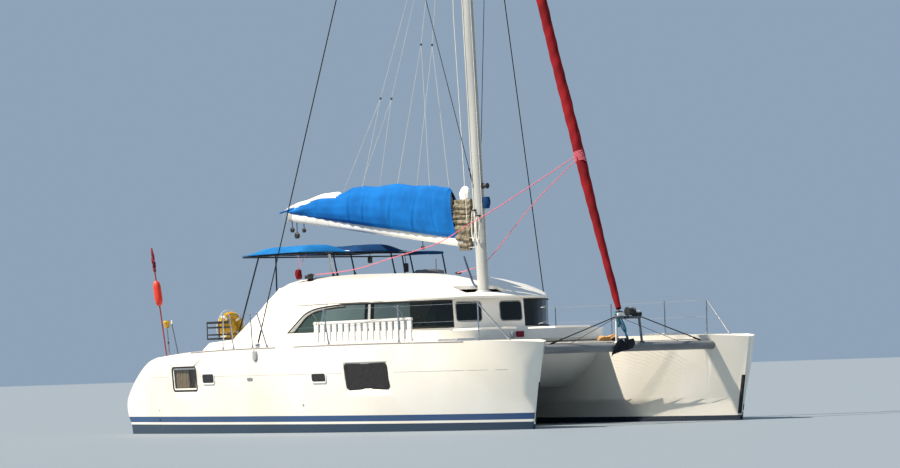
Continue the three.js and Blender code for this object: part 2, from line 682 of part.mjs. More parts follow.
function shroud() {
  const foot = [CHAINPLATE.x, CHAINPLATE.y, DECK + 40];
  const wire = rod(foot, [mastX(HOUNDS), 0, HOUNDS], 11, 11, 6);
  const screw = rod(foot, [CHAINPLATE.x + 38, CHAINPLATE.y - 72, DECK + 360], 20, 20, 8);
  const plate = box(foot[0] - 60, foot[0] + 60, foot[1] - 25, foot[1] + 25, DECK + FIT, DECK + 60);
  return cut(join(plate, wire, screw), mastLoft(FIT));
}

// The furled genoa on its stay. Columns: distance up the stay from 0 to 1, radius
const STAY = { foot: [5038, 1873], head: [980, 15150], sag: 160, wire: 9 };
const GENOA = [[0.001, 30], [0.02, 46], [0.06, 56], [0.12, 74], [0.2, 92], [0.35, 88], [0.6, 76], [0.85, 60],
  [0.95, 36]];
const GENOA_SIDES = 10;

function stayPoint(t) {
  const [x0, z0] = STAY.foot;
  const [x1, z1] = STAY.head;
  const drop = STAY.sag * Math.sin(Math.PI * t);
  return [x0 + (x1 - x0) * t - drop, 0, z0 + (z1 - z0) * t - drop * 0.3];
}

function genoa() {
  const [cosine, sine] = [0.95, 0.31]; // of the stay's slope, which turns the rings square to it
  const rings = GENOA.map(([t, radius]) => {
    const [x, , z] = stayPoint(t);
    return Array.from({ length: GENOA_SIDES }, (_, i) => {
      const angle = i / GENOA_SIDES * Math.PI * 2;
      const along = radius * Math.cos(angle);
      return [x + along * cosine, radius * Math.sin(angle), z + along * sine];
    });
  });
  const wire = rods([...[0, 0.3, 0.6, 0.94].map(stayPoint), [mastX(HOUNDS), 0, HOUNDS]], STAY.wire);
  return cut(join(loft(rings), wire), mastLoft(FIT), drumSolid(FIT));
}

// Profile of the furling drum: radius, height
const DRUM = [[40, 0], [40, 12], [78, 18], [78, 26], [50, 32], [50, 62], [78, 68], [78, 76], [36, 95]];

function drumSolid(grow = 0) {
  const base = STRIKER.top + 20 + FIT;
  const profile = DRUM.map(([radius, up], i) => {
    const shift = i === 0 ? -grow : i === DRUM.length - 1 ? grow : 0;
    return [radius + grow, base + up + shift];
  });
  const [low, high] = [profile[0][1], profile.at(-1)[1]];
  return turned([[0, low], ...profile, [0, high]], DRUM_X, 0, 16);
}

// Boom, with the sail stowed on it in its cover

const BOOM = { end: -4470, start: 930, slope: 0.1322, along: 92, across: 65, sides: 14 };
const PIN_PLAY = 0.8;
const SHEET_BLOCK = { x: -4250, half: 22, z: [3550, 3680] };

function boomZ(x) {
  return GOOSENECK.z + (GOOSENECK.swing - x) * BOOM.slope;
}

function gooseneck() {
  const { z, swing, lift, pin } = GOOSENECK;
  const upright = rod([swing, 0, z - 75 + FIT], [swing, 0, z + 75 - FIT], pin, pin, 12);
  const block = box(lift - 12, swing, -18, 18, z - 40, z + 40);
  return join(upright, block, rod([lift, -52, z], [lift, 52, z], pin, pin, 12));
}

function boomTube(grow = 0) {
  const { start, end, along, across, sides } = BOOM;
  return loft([start + grow, end - grow].map((x) => Array.from({ length: sides }, (_, i) => {
    const angle = (i + 0.5) / sides * Math.PI * 2;
    return [x, (across + grow) * Math.cos(angle), boomZ(x) + (along + grow) * Math.sin(angle)];
  })));
}

function boom() {
  const { z, lift, pin } = GOOSENECK;
  const { start } = BOOM;
  const tube = boomTube();
  const cheeks = [[-34, -20], [20, 34]].map(([y0, y1]) => box(start - 60, lift + 24, y0, y1, z - 28, z + 28));
  const hole = rod([lift, -90, z], [lift, 90, z], pin + PIN_PLAY, pin + PIN_PLAY, 16);
  const { x, half, z: blockZ } = SHEET_BLOCK;
  const strap = rod([x, 0, boomZ(x)], [x, 0, boomZ(x) - 200], 14);
  const bail = join(strap, box(x - 60, x + 60, -half, half, ...blockZ));
  return join(cut(join(tube, ...cheeks), hole), bail);
}

// Sections of the stowed sail. Columns: x, top height, half width
const COVER = [
  [830, 4110, 70],
  [500, 4200, 150],
  [-80, 4235, 175],
  [-1580, 4340, 180],
  [-2740, 4300, 150],
  [-3820, 4180, 110],
  [-4780, 4060, 40],
];
const COVER_LOW = 84; // bottom of the cover over the boom's axis
// The cover's outline, as shares of its half width and height
const COVER_SIDE = [[0.45, 0], [0.95, 0.22], [1, 0.5], [0.62, 0.85], [0.2, 1]];

function sailCover() {
  const outline = [...COVER_SIDE, ...COVER_SIDE.map(([across, up]) => [-across, up]).reverse()];
  const bag = loft(COVER.map(([x, top, half]) => {
    const base = boomZ(x) + COVER_LOW;
    return outline.map(([across, up]) => [x, half * across, base + (top - base) * up]);
  }));
  return cut(bag, boomTube(FIT));
}

// Rails, gangway and gear on deck

// Stanchions: x and y at the deck, x and y at the head, with y outwards from the middle
const AFT_STANCHIONS = [[-1620, 3200, -1740, 3205], [-1970, 3190, -1950, 3195]];
const STANCHIONS = {
  starboard: [[4850, 2755, 4850, 2765], [3150, 3110, 3150, 3120], [1290, 3215, 1170, 3225],
    [-560, 3215, -830, 3225], [-1010, 3215, -1040, 3225], ...AFT_STANCHIONS],
  port: [[3730, 3000, 3710, 3030], [2400, 3180, 2380, 3200], [880, 3215, 870, 3225],
    [-720, 3215, -740, 3225], ...AFT_STANCHIONS],
};
const BRACE_FOOT = { starboard: [5300, 2440, 1380], port: [4560, 2800, 1420] };
const RAIL = { top: 2060, middle: 1770, radius: 12, line: 6 };

// Rail of one side, as on the port side
function rail(side, grow = 0) {
  const stanchions = STANCHIONS[side];
  const posts = stanchions.map(([x, y, headX, headY]) => {
    return rod([x, y, 1340], [headX, headY, RAIL.top], RAIL.radius + grow, RAIL.radius + grow, 6);
  });
  const along = (height) => stanchions.map(([x, y, headX, headY]) => {
    const share = (height - DECK) / (RAIL.top - DECK);
    return [x + (headX - x) * share, y + (headY - y) * share, height];
  });
  const lines = [RAIL.top, RAIL.middle].map((height) => rods(along(height), RAIL.line + grow));
  const head = [...stanchions[0].slice(2), RAIL.top];
  const brace = rod(head, BRACE_FOOT[side], RAIL.radius + grow, RAIL.radius + grow, 6);
  return cut(join(...posts, ...lines, brace), hullLoft(FIT));
}

// Deck height at a place along the hull, between its sections
function deckHeight(x) {
  const sections = smoothed(HULL_SECTIONS, HULL_SPACING);
  const at = (section) => section.x + section.lean * section.deck;
  const next = sections.findIndex((section) => at(section) >= x);
  const [a, b] = [sections[next - 1], sections[next]];
  return a.deck + (b.deck - a.deck) * (x - at(a)) / (at(b) - at(a));
}

const GANGWAY = { x: [580, 3390], y: -3015, z: [DECK + FIT, 1862], slats: 16, slat: 118 };

function gangway() {
  const { x, y, z, slats, slat } = GANGWAY;
  const bars = [z[0], z[1] - 45].map((low) => box(x[0], x[1], y - 22, y + 22, low, low + 45));
  const pitch = (x[1] - x[0] - 20 - slat) / (slats - 1);
  const rungs = Array.from({ length: slats }, (_, i) => {
    const start = x[0] + 10 + i * pitch;
    return box(start, start + slat, y - 14, y + 14, z[0] + 20, z[1] - 20);
  });
  return join(...bars, ...rungs);
}

const DANBUOY = { x: -4320, y: -2860 };

function danbuoy() {
  const { x, y } = DANBUOY;
  const base = deckHeight(x) - 60;
  const pole = rod([x, y, base], [x - 340, y - 50, 3350], 14, 14, 6);
  const float = rod([x - 158, y - 22, 2300], [x - 238, y - 34, 2760], 70, 70, 10);
  return cut(join(pole, float), mirrored(hullLoft(FIT)));
}

// A lifebuoy stands on the starboard coaming, and a black basket is tied to the last stanchion
const LIFEBUOY = { x: -3450, y: -2050, z: 1886, ring: 205, tube: 62 };
const BASKET = { x: [-2500, -2100], y: [-3180, -2920], z: [1640, 1960], bar: 16 };
const TIES = { x: [-2105, -1956], z: [1700, 1900] };

function lifebuoy() {
  const { x, y, z, ring, tube } = LIFEBUOY;
  const geometry = new THREE.TorusGeometry(ring, tube, 8, 16);
  geometry.rotateY(Math.PI / 2);
  geometry.translate(x, y, z);
  return cut(toSolid(geometry), wingTool());
}

function basket() {
  const { x, y, z, bar } = BASKET;
  const outer = box(...x, ...y, ...z);
  const inner = box(x[0] + bar, x[1] - bar, y[0] + bar, y[1] - bar, z[0] + bar, z[1] + bar);
  const lashings = TIES.z.map((height) => box(...TIES.x, y[0], y[0] + bar, height, height + bar));
  return cut(join(cut(outer, inner), ...lashings), mirrored(rail("starboard", FIT)));
}

// Bimini over the cockpit: two panels of cloth on a tube frame

const BIMINI = { aft: -3400, front: -1600, edge: 3150, crown: 3285, cloth: 25, tube: 14 };
const RISE = { aft: 450, front: 230 }; // length over which the cloth rises from its ends to its crown
const BAR_INSET = 40; // from the cloth's ends to the bars that carry it
const BIMINI_SIDES = [-1780, 1380];
const PANELS = { starboard: [-1800, -680], centre: [-560, 560] };
const BIMINI_POSTS = [-1115, -1030, -650, 230, 640, 1370]; // y of the posts along the front bar
const POST_FOOT = 110; // how far the posts' feet stand forward of the bar
const SIDE_POST = -2340; // x of the post that stands on the starboard deck

function canopy([y0, y1]) {
  const { aft, front, edge, crown, cloth } = BIMINI;
  const across = [[y0, 0], [y0 + 200, 0.75], [(y0 + y1) / 2, 1], [y1 - 200, 0.75], [y1, 0]];
  const ring = (x, rise) => {
    const top = across.map(([y, share]) => [x, y, edge + (crown - edge) * share * rise]);
    return [...top, ...top.map(([, y, z]) => [x, y, z - cloth]).reverse()];
  };
  return loft([ring(aft, 0), ring(aft + RISE.aft, 1), ring(front - RISE.front, 1), ring(front, 0)], true);
}

function biminiFrame(grow = 0) {
  const { aft, front, edge, cloth, tube } = BIMINI;
  const radius = tube + grow;
  const under = edge - cloth - tube - FIT;
  const [near, far] = BIMINI_SIDES;
  const ends = [front - BAR_INSET, aft + BAR_INSET];
  const posts = BIMINI_POSTS.map((y) => {
    return rod([ends[0] + POST_FOOT, y, 2500], [ends[0], y, under], radius, radius, 6);
  });
  const sidePost = rod([SIDE_POST, near, 1300], [SIDE_POST, near, under], radius, radius, 6);
  const bars = ends.map((x) => rods([[x, near - 20, under], [x, far + 20, under]], radius, 8));
  const sides = BIMINI_SIDES.map((y) => rods([[ends[0], y, under], [ends[1], y, under]], radius, 8));
  const legs = BIMINI_SIDES.map((y) => {
    return rod([-2880, y, under], [aft, Math.sign(y) * 2000, 1500], radius, radius, 6);
  });
  const overRoof = cut(join(...posts, ...bars, ...sides, ...legs), roofTool(), wingTool());
  return cut(join(overRoof, sidePost), mirrored(hullLoft(FIT)));
}

// The roof and the cockpit's wings moved out by the fitting gap, as tools
function roofTool() {
  const rings = smoothed(ROOF_SECTIONS, ROOF_SPACING).map((section) => {
    return roofRing({ ...section, half: section.half + FIT, crown: section.crown + FIT }, 0);
  });
  return loft(rings).intersect(profileTool(FIT));
}

function wingTool() {
  return cabinLoft(FIT).intersect(profileTool(FIT));
}

// Cockpit and saloon

const SEAT_TOP = 1290;
const LOOSE_EDGE = TUNNEL - 2 * FIT; // y where the seats meet the hulls

function cockpitSeats() {
  const aft = box(-4150 + FIT, -3620, -LOOSE_EDGE, 900, FLOOR + FIT, SEAT_TOP);
  const side = box(-3630, -2500, -LOOSE_EDGE, -880, FLOOR + FIT, SEAT_TOP);
  return join(aft, side);
}

const TABLE = { top: 35, leg: 55 };

function table(x0, x1, y0, y1, height) {
  const [x, y] = [(x0 + x1) / 2, (y0 + y1) / 2];
  const board = box(x0, x1, y0, y1, height - TABLE.top, height);
  return join(board, rod([x, y, FLOOR + FIT], [x, y, height - 20], TABLE.leg, TABLE.leg, 10));
}

const HELM = { x: [-1980, BULKHEAD.aft - FIT], y: [820, 1380], top: 1990, axle: 1760 };
const WHEEL = { rim: 300, grip: 15, spoke: 9, hub: 30, stand_off: 110 };

function helmConsole() {
  return box(...HELM.x, ...HELM.y, FLOOR + FIT, HELM.top);
}

function helmSeat() {
  const base = box(-2900, -2480, 800, 1380, FLOOR + FIT, 1480);
  const back = box(-2960, -2890, 800, 1380, 1000, 1830);
  return join(base, back);
}

function steeringWheel() {
  const y = (HELM.y[0] + HELM.y[1]) / 2;
  const x = HELM.x[0] - WHEEL.stand_off;
  const rim = new THREE.TorusGeometry(WHEEL.rim, WHEEL.grip, 6, 24);
  rim.rotateY(Math.PI / 2);
  rim.translate(x, y, HELM.axle);
  const spokes = [0, 1, 2].map((i) => {
    const angle = i * Math.PI / 3;
    const [dy, dz] = [Math.cos(angle) * WHEEL.rim, Math.sin(angle) * WHEEL.rim];
    return rod([x, y - dy, HELM.axle - dz], [x, y + dy, HELM.axle + dz], WHEEL.spoke, WHEEL.spoke, 6);
  });
  const shaft = rod([x - 25, y, HELM.axle], [HELM.x[0] - FIT, y, HELM.axle], WHEEL.hub, WHEEL.hub, 12);
  return join(toSolid(rim), ...spokes, shaft);
}

function settee() {
  const back = box(1180, 1490, -1150, 1150, FLOOR + FIT, SEAT_TOP);
  const side = box(-300, 1190, 700, 1150, FLOOR + FIT, SEAT_TOP);
  return join(back, side);
}

function slidingDoor() {
  const [y0, y1] = DOORWAY.y;
  const { lap, low } = DOOR;
  return box(BULKHEAD.aft - 45, BULKHEAD.aft - 6, y0 - lap, y1 + lap, low, DOORWAY.z[1] + lap);
}

const WINCH = { x: -1500, y: 1620, foot: 2640 };

function winch() {
  const profile = [[0, -70], [70, -70], [70, 25], [48, 38], [48, 84], [66, 96], [66, 112], [0, 112]];
  const drum = profile.map(([radius, up]) => [radius, WINCH.foot + up]);
  return cut(turned(drum, WINCH.x, WINCH.y), roofTool());
}

// Lids that lie on the hulls' decks, level, with their undersides cut to the deck
function hatchLid({ x, y }) {
  const top = Math.max(...x.map(deckHeight)) + LID;
  return cut(box(x[0] - COAMING, x[1] + COAMING, y[0] - COAMING, y[1] + COAMING, 1300, top), hullLoft(FIT));
}

function foredeckLid() {
  const { x, y } = LOCKER;
  const z = [FOREDECK.top + FIT, FOREDECK.top + LID];
  return box(x[0] - COAMING, x[1] + COAMING, y[0] - COAMING, y[1] + COAMING, ...z);
}

// Assembly

for (const side of Object.keys(SIDES)) {
  place(`hull_${side}`, onSide(side, hull()), GELCOAT);
  place(`keel_${side}`, onSide(side, keel()), ANTIFOULING);
  place(`rudder_${side}`, onSide(side, rudder()), ANTIFOULING);
  place(`saildrive_${side}`, onSide(side, saildrive()), IRON);
  place(`propeller_${side}`, onSide(side, propeller()), BRONZE);
  place(`engine_${side}`, onSide(side, engine()), IRON);
  place(`trampoline_${side}`, onSide(side, trampoline()), NET);
  place(`shroud_${side}`, onSide(side, shroud()), STEEL);
  place(`rail_${side}`, onSide(side, rail(side)), STEEL);
  place(`cabin_glass_${side}`, pane(sideGlassTool(side, -FIT), 3, 10), GLASS);
  place(`front_window_${side}`, pane(frontWindowTool(side, -FIT), 3, 14), GLASS);
  place(`cabin_hatch_${side}`, onSide(side, hatchLid(HATCHES.cabin_hatch)), GLASS);
  place(`engine_hatch_${side}`, onSide(side, hatchLid(HATCHES.engine_hatch)), NONSKID);
  place(`foredeck_lid_${side}`, onSide(side, foredeckLid()), NONSKID);
  place(`winch_${side}`, onSide(side, winch()), STEEL);
}

place("bridgedeck", bridgedeck(), GELCOAT);
place("foredeck", foredeck(), NONSKID);
place("cabin", cabin(), GELCOAT);
place("coachroof", coachroof(), GELCOAT);
place("cockpit_seats", cockpitSeats(), GELCOAT);
place("cockpit_table", table(-3300, -2300, -650, -100, 1560), GELCOAT);
place("saloon_settee", settee(), UPHOLSTERY);
place("saloon_table", table(-150, 1000, -450, 500, 1540), UPHOLSTERY);
place("saloon_door", slidingDoor(), GLASS);
place("helm_console", helmConsole(), GELCOAT);
place("helm_seat", helmSeat(), UPHOLSTERY);
place("steering_wheel", steeringWheel(), STEEL);
place("crossbeam", crossbeam(), ALUMINIUM);
place("centre_beam", centreBeam(), ALUMINIUM);
place("anchor", anchor(), IRON);
place("windlass", windlass(), STEEL);
place("mast", mast(), ALUMINIUM);
place("furled_genoa", genoa(), RED_CANVAS);
place("furler_drum", drumSolid(), BLACK);
place("gooseneck", gooseneck(), STEEL);
place("boom", boom(), GELCOAT);
place("sail_cover", sailCover(), BLUE_CANVAS);
place("bimini_starboard", canopy(PANELS.starboard), BLUE_CANVAS);
place("bimini_centre", canopy(PANELS.centre), BLUE_CANVAS);
place("bimini_frame", biminiFrame(), STEEL);
place("gangway", gangway(), ALUMINIUM);
place("danbuoy", danbuoy(), ORANGE);
place("lifebuoy", lifebuoy(), YELLOW);
place("basket", basket(), BLACK);

export default catamaran;
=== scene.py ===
# %% [markdown]
# # A sailing catamaran at anchor, dressed in Blender
#
# A 38 ft cruising catamaran lies with her sails stowed: a blue cover on the boom, a red sleeve round the
# furled headsail, two small awnings over the cockpit.
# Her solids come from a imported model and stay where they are, because her doors, hatches, boom and rudders
# move with them.
# This lesson gives the plain solids their real surfaces, and adds what is too fine or too soft for them:
# ropes, window frames, cloth, nets and rails.

# %% Load the solids
import math

import bmesh
import bpy
from mathutils import Matrix, Vector
from mathutils.bvhtree import BVHTree


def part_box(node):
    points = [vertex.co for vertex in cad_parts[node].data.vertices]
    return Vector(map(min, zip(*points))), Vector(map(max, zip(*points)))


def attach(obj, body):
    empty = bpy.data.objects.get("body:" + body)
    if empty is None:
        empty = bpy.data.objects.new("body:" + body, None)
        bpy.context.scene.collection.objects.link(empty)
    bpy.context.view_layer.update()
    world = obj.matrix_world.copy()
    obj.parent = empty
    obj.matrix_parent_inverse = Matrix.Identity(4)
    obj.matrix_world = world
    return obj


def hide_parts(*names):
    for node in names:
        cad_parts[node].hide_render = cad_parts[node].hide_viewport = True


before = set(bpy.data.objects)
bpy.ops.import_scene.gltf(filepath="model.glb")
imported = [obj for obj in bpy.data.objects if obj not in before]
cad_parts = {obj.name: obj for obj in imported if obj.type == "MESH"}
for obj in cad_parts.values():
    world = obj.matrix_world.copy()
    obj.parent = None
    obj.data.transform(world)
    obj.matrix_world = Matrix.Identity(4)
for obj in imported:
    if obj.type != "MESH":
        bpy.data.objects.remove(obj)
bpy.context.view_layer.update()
SIDES = {"starboard": -1, "port": 1}

# %% [markdown]
# ## Colours and shader nodes
#
# Paint charts give sRGB hex values, and the renderer works in linear light, so one function turns the first
# into the second.
# A shader tree could be drawn by hand in the editor. Here one small function adds a node, sets it and links
# it, so every finish reads as a short list.

# %% Helpers for finishes
def linear(hex_colour):
    channels = [int(hex_colour[i:i + 2], 16) / 255 for i in (1, 3, 5)]
    curve = [c / 12.92 if c <= 0.04045 else ((c + 0.055) / 1.055) ** 2.4 for c in channels]
    return (*curve, 1.0)


def node(tree, kind, inputs=None, **settings):
    """Adds a shader node; inputs maps a socket's name or number to a value or to another node's output."""
    made = tree.nodes.new("ShaderNode" + kind)
    for name, setting in settings.items():
        setattr(made, name, setting)
    for name, given in (inputs or {}).items():
        if isinstance(given, bpy.types.NodeSocket):
            tree.links.new(given, made.inputs[name])
        else:
            made.inputs[name].default_value = given
    return made


def finish(name, colour, roughness, **sockets):
    """A new material with one Principled shader; gives the material, its tree and its shader."""
    material = bpy.data.materials.new(name)
    material.use_nodes = True
    shader = material.node_tree.nodes["Principled BSDF"]
    shader.inputs["Base Color"].default_value = linear(colour)
    shader.inputs["Roughness"].default_value = roughness
    for socket, given in sockets.items():
        shader.inputs[socket.replace("_", " ")].default_value = given
    material.diffuse_color = linear(colour)
    return material, material.node_tree, shader


def place_in(tree, size_mm, stretch=(1, 1, 1)):
    """Object coordinates, scaled so that one unit of a pattern is size_mm long, times the stretch of each axis."""
    coordinates = node(tree, "TexCoord").outputs["Object"]
    scale = [1000 / size_mm / s for s in stretch]
    return node(tree, "Mapping", {"Vector": coordinates, "Scale": scale}).outputs["Vector"]


def noise_in(tree, size_mm, detail, stretch=(1, 1, 1)):
    where = place_in(tree, size_mm, stretch)
    return node(tree, "TexNoise", {"Vector": where, "Scale": 1.0, "Detail": detail}).outputs["Fac"]


def ramp(tree, factor, stops, interpolation="LINEAR"):
    """A colour ramp; stops are (position, hex colour), from low to high."""
    made = node(tree, "ValToRGB", {"Fac": factor})
    elements = made.color_ramp.elements
    made.color_ramp.interpolation = interpolation
    for element, (position, _) in list(zip(elements, stops)):
        element.position = position
    for position, _ in stops[2:]:
        elements.new(position)
    for element, (_, colour) in zip(elements, stops):
        element.color = linear(colour)
    return made.outputs["Color"]


def wander(tree, shader, low, high, size_mm, stretch=(1, 1, 1)):
    """Colour that wanders between two tones; gives the noise, for the bump."""
    noise = noise_in(tree, size_mm, 5.0, stretch)
    tree.links.new(ramp(tree, noise, [(0.35, low), (0.65, high)]), shader.inputs["Base Color"])
    return noise


def bump(tree, shader, height, depth_mm, strength):
    inputs = {"Height": height, "Distance": depth_mm / 1000, "Strength": strength}
    tree.links.new(node(tree, "Bump", inputs).outputs["Normal"], shader.inputs["Normal"])


def mottled(name, colour, low, high, roughness, size_mm, depth_mm, strength, stretch=(1, 1, 1), **sockets):
    """A finish whose colour wanders, with a bump from the same noise."""
    material, tree, shader = finish(name, colour, roughness, **sockets)
    bump(tree, shader, wander(tree, shader, low, high, size_mm, stretch), depth_mm, strength)
    return material


print("white in linear light:", [round(c, 3) for c in linear("#F3F0E8")])

# %% [markdown]
# ## Gelcoat, the boat's skin
#
# Gelcoat is a pigmented resin sprayed into a polished mould, so it is a hard glossy white, a little warm,
# with only a faint waviness. Years outdoors leave soft grey-yellow stains.
# One flat colour would look like a toy's plastic. A very broad noise between two near whites gives the
# stains, and its bump the slight waviness of a big moulding.
# The decks have the same resin with a moulded grip texture. Its bumps are about 3 mm, and are drawn 12 mm
# wide so that they show.

# %% Gelcoat and deck finishes
gelcoat = mottled("white_gelcoat", "#F3F0E8", "#E8E4D9", "#F5F2EB", 0.24, 900, 1.5, 0.15,
                  Coat_Weight=0.25, Coat_Roughness=0.1)
trim_grey = finish("grey_window_trim", "#8E908C", 0.4)[0]
nonskid, tree, shader = finish("moulded_nonskid", "#D8D4C8", 0.75)
wander(tree, shader, "#C9C5B8", "#DEDAD0", 700)
grit = node(tree, "TexVoronoi", {"Vector": place_in(tree, 12), "Scale": 1.0}, distance="CHEBYCHEV")
bump(tree, shader, grit.outputs["Distance"], 1.2, 0.6)
print("gelcoat finishes:", gelcoat.name, nonskid.name)

# %% [markdown]
# ## The hull's stripes
#
# Each hull has a blue boot stripe, a thin white line under it and blue antifouling paint below that. On the
# tunnel side the white runs almost to the water.
# The stripes could be strips of mesh, but those would have to follow every curve of the hull. They are
# masked by height instead, which keeps them level and crisp.
# They rise a little towards the stern, so the height is measured from a plane that slopes with X, and the
# distance from the centre plane chooses the outer or the tunnel side's bands.

# %% Hull finish with stripes
STRIPE_RISE = 0.0045  # metres that the stripes rise for each metre towards the stern
HEIGHTS = (-1.0, 1.6)  # the heights that the ramps span
HULL_MIDDLE = 2.2  # Y between the outside and the tunnel side of a hull
WHITE = "#F4F1E9"
OUTER_BANDS = [(-1.0, "#12344F"), (0.142, WHITE), (0.180, "#1A4679"), (0.282, WHITE)]
# The tunnel side's antifouling is a darker blue than the outer side's: painted shade.
TUNNEL_BANDS = [(-1.0, "#14263A"), (0.10, WHITE)]


def hull_bands(tree, level, bands):
    span = HEIGHTS[1] - HEIGHTS[0]
    return ramp(tree, level, [((z - HEIGHTS[0]) / span, colour) for z, colour in bands], "CONSTANT")


hull_paint, tree, shader = finish("hull_gelcoat_striped", "#F3F0E8", 0.22, Coat_Weight=0.3, Coat_Roughness=0.08)
place = node(tree, "SeparateXYZ", {"Vector": node(tree, "TexCoord").outputs["Object"]}).outputs
rise = node(tree, "Math", {0: place["X"], 1: STRIPE_RISE, 2: place["Z"]}, operation="MULTIPLY_ADD").outputs[0]
level = node(tree, "MapRange", {"Value": rise, "From Min": HEIGHTS[0], "From Max": HEIGHTS[1]}).outputs[0]
outer, tunnel = (hull_bands(tree, level, bands) for bands in (OUTER_BANDS, TUNNEL_BANDS))
across = node(tree, "Math", {0: place["Y"]}, operation="ABSOLUTE").outputs[0]
is_outer = node(tree, "Math", {0: across, 1: HULL_MIDDLE}, operation="GREATER_THAN").outputs[0]
mix = node(tree, "Mix", {0: is_outer, 6: tunnel, 7: outer}, data_type="RGBA")
stain_noise = noise_in(tree, 1400, 6.0)
stain = ramp(tree, stain_noise, [(0.3, "#F1EDE3"), (0.7, "#FFFFFF")])
tinted = node(tree, "Mix", {0: 1.0, 6: mix.outputs[2], 7: stain}, data_type="RGBA", blend_type="MULTIPLY")
tree.links.new(tinted.outputs[2], shader.inputs["Base Color"])
bump(tree, shader, stain_noise, 2.0, 0.12)
print("outer stripe from", OUTER_BANDS[2][0], "to", OUTER_BANDS[3][0], "m at amidships")

# %% [markdown]
# ## Metals
#
# The mast, crossbeam and boarding ladder are aluminium, and their colour wanders along their length as the
# die drew it. The rails are polished stainless steel. The propellers are bronze, and the anchor is
# galvanised steel gone dark.
# A bare metal's colour is in its reflection, so those are fully metallic, and differ in tint and roughness.
# Painted and heavily anodised parts read as enamel from afar.

# %% Metal and paint finishes
def metal(name, low, high, roughness, size_mm, stretch=(1, 1, 1)):
    return mottled(name, high, low, high, roughness, size_mm, 0.2, 0.3, stretch, Metallic=1.0)


anodised = metal("satin_anodised_aluminium", "#B9BCC0", "#DADCDD", 0.42, 8, (1, 1, 40))
stainless = metal("polished_stainless_steel", "#A9ABAE", "#D5D6D8", 0.2, 30)
bronze = metal("cast_bronze", "#6E5326", "#9A7A42", 0.35, 20)
galvanised = metal("dark_galvanised_steel", "#15171A", "#3A3D42", 0.55, 15)
# A dark metal for the awning frame's tubes.
dark_tube = metal("dark_metal_tube", "#23282D", "#3C444C", 0.45, 20)
# Grey enamel for the engines and the vent; on the striker's port leg it is painted shade.
grey_enamel_and_shade = finish("grey_engine_enamel_and_painted_shade", "#5A5F64", 0.4)[0]
drive_paint = finish("grey_drive_leg_paint", "#8A8E92", 0.45)[0]
beam_metal = mottled("painted_aluminium_beam", "#7A7C7E", "#6A6C6E", "#868889", 0.4, 120, 0.3, 0.2, (1, 6, 1),
                     Coat_Weight=0.15)
mast_metal = mottled("clear_anodised_mast", "#B2B4B0", "#A9ABA8", "#BABCB8", 0.45, 160, 0.2, 0.1, (1, 1, 8),
                     Metallic=0.15)
boom_paint = mottled("white_boom_enamel", "#DCDCD9", "#CBCBC8", "#E2E2E0", 0.3, 300, 0.4, 0.1, (6, 1, 1),
                     Coat_Weight=0.2)
antifouling = mottled("blue_antifouling", "#1B4568", "#153754", "#24527A", 0.85, 120, 0.8, 0.4)
print("metals:", anodised.name, stainless.name, bronze.name, galvanised.name)

# %% [markdown]
# ## Cloth, rope, net and plastics
#
# Boat canvas is woven from solution-dyed acrylic yarn, about 20 threads to the centimetre. That is far too
# fine for this picture, so the weave is drawn at 6 mm.
# Crossed waves make the warp and weft, and their bump catches the light. The boat's canvas is matt; the
# softer cloths get some sheen, the dry edge that plastic doesn't have.
# Ropes are braided, so a diagonal wave gives the plait. Rubber and moulded plastic only need a fine grain.

# %% Cloth and plastic finishes
def woven(name, low, high, thread_mm=6, sheen=0.0, blotch_mm=400):
    material, tree, shader = finish(name, high, 0.85, Sheen_Weight=sheen, Sheen_Roughness=0.5, Specular_IOR_Level=0.15)
    wander(tree, shader, low, high, blotch_mm)
    where = place_in(tree, thread_mm)
    warp, weft, depth = (node(tree, "TexWave", {"Vector": where, "Scale": 0.5}, bands_direction=axis).outputs["Fac"]
                         for axis in "XYZ")
    crossed = node(tree, "Math", {0: warp, 1: weft}, operation="ADD").outputs[0]
    bump(tree, shader, node(tree, "Math", {0: crossed, 1: depth}, operation="ADD").outputs[0], 0.6, 0.35)
    return material


def plastic(name, low, high, roughness=0.55, grain_mm=4):
    material, tree, shader = finish(name, high, roughness)
    wander(tree, shader, low, high, 60)
    bump(tree, shader, noise_in(tree, grain_mm, 2.0), 0.15, 0.4)
    return material


def braided(name, low, high):
    material, tree, shader = finish(name, high, 0.8, Sheen_Weight=0.2)
    wave = node(tree, "TexWave", {"Vector": place_in(tree, 18), "Scale": 1.0}, bands_direction="DIAGONAL")
    tree.links.new(ramp(tree, wave.outputs["Fac"], [(0.2, low), (0.8, high)]), shader.inputs["Base Color"])
    bump(tree, shader, wave.outputs["Fac"], 1.0, 0.5)
    return material


blue_canvas = woven("blue_acrylic_canvas", "#04569A", "#0A68B4")
sky_canvas = woven("faded_blue_acrylic_canvas", "#0F5F9C", "#1B74B4")
# Navy canvas; on the centre awning and the rolled side curtain its dark tone is painted shade.
navy_and_shaded_canvas = woven("navy_acrylic_canvas_and_painted_shade", "#042A50", "#083A68")
# Near-black cloth for the awnings' undersides: painted shade.
painted_shade_lining = woven("awning_underside_painted_shade", "#06090D", "#0B1016")
grey_cloth = woven("grey_cover_cloth", "#5C6267", "#7A8086")
red_canvas = woven("dark_red_acrylic_sleeve", "#6E0F16", "#8A181E")
sailcloth = woven("white_dacron_sailcloth", "#DDDBD2", "#F2F0EA", 8, 0.1)
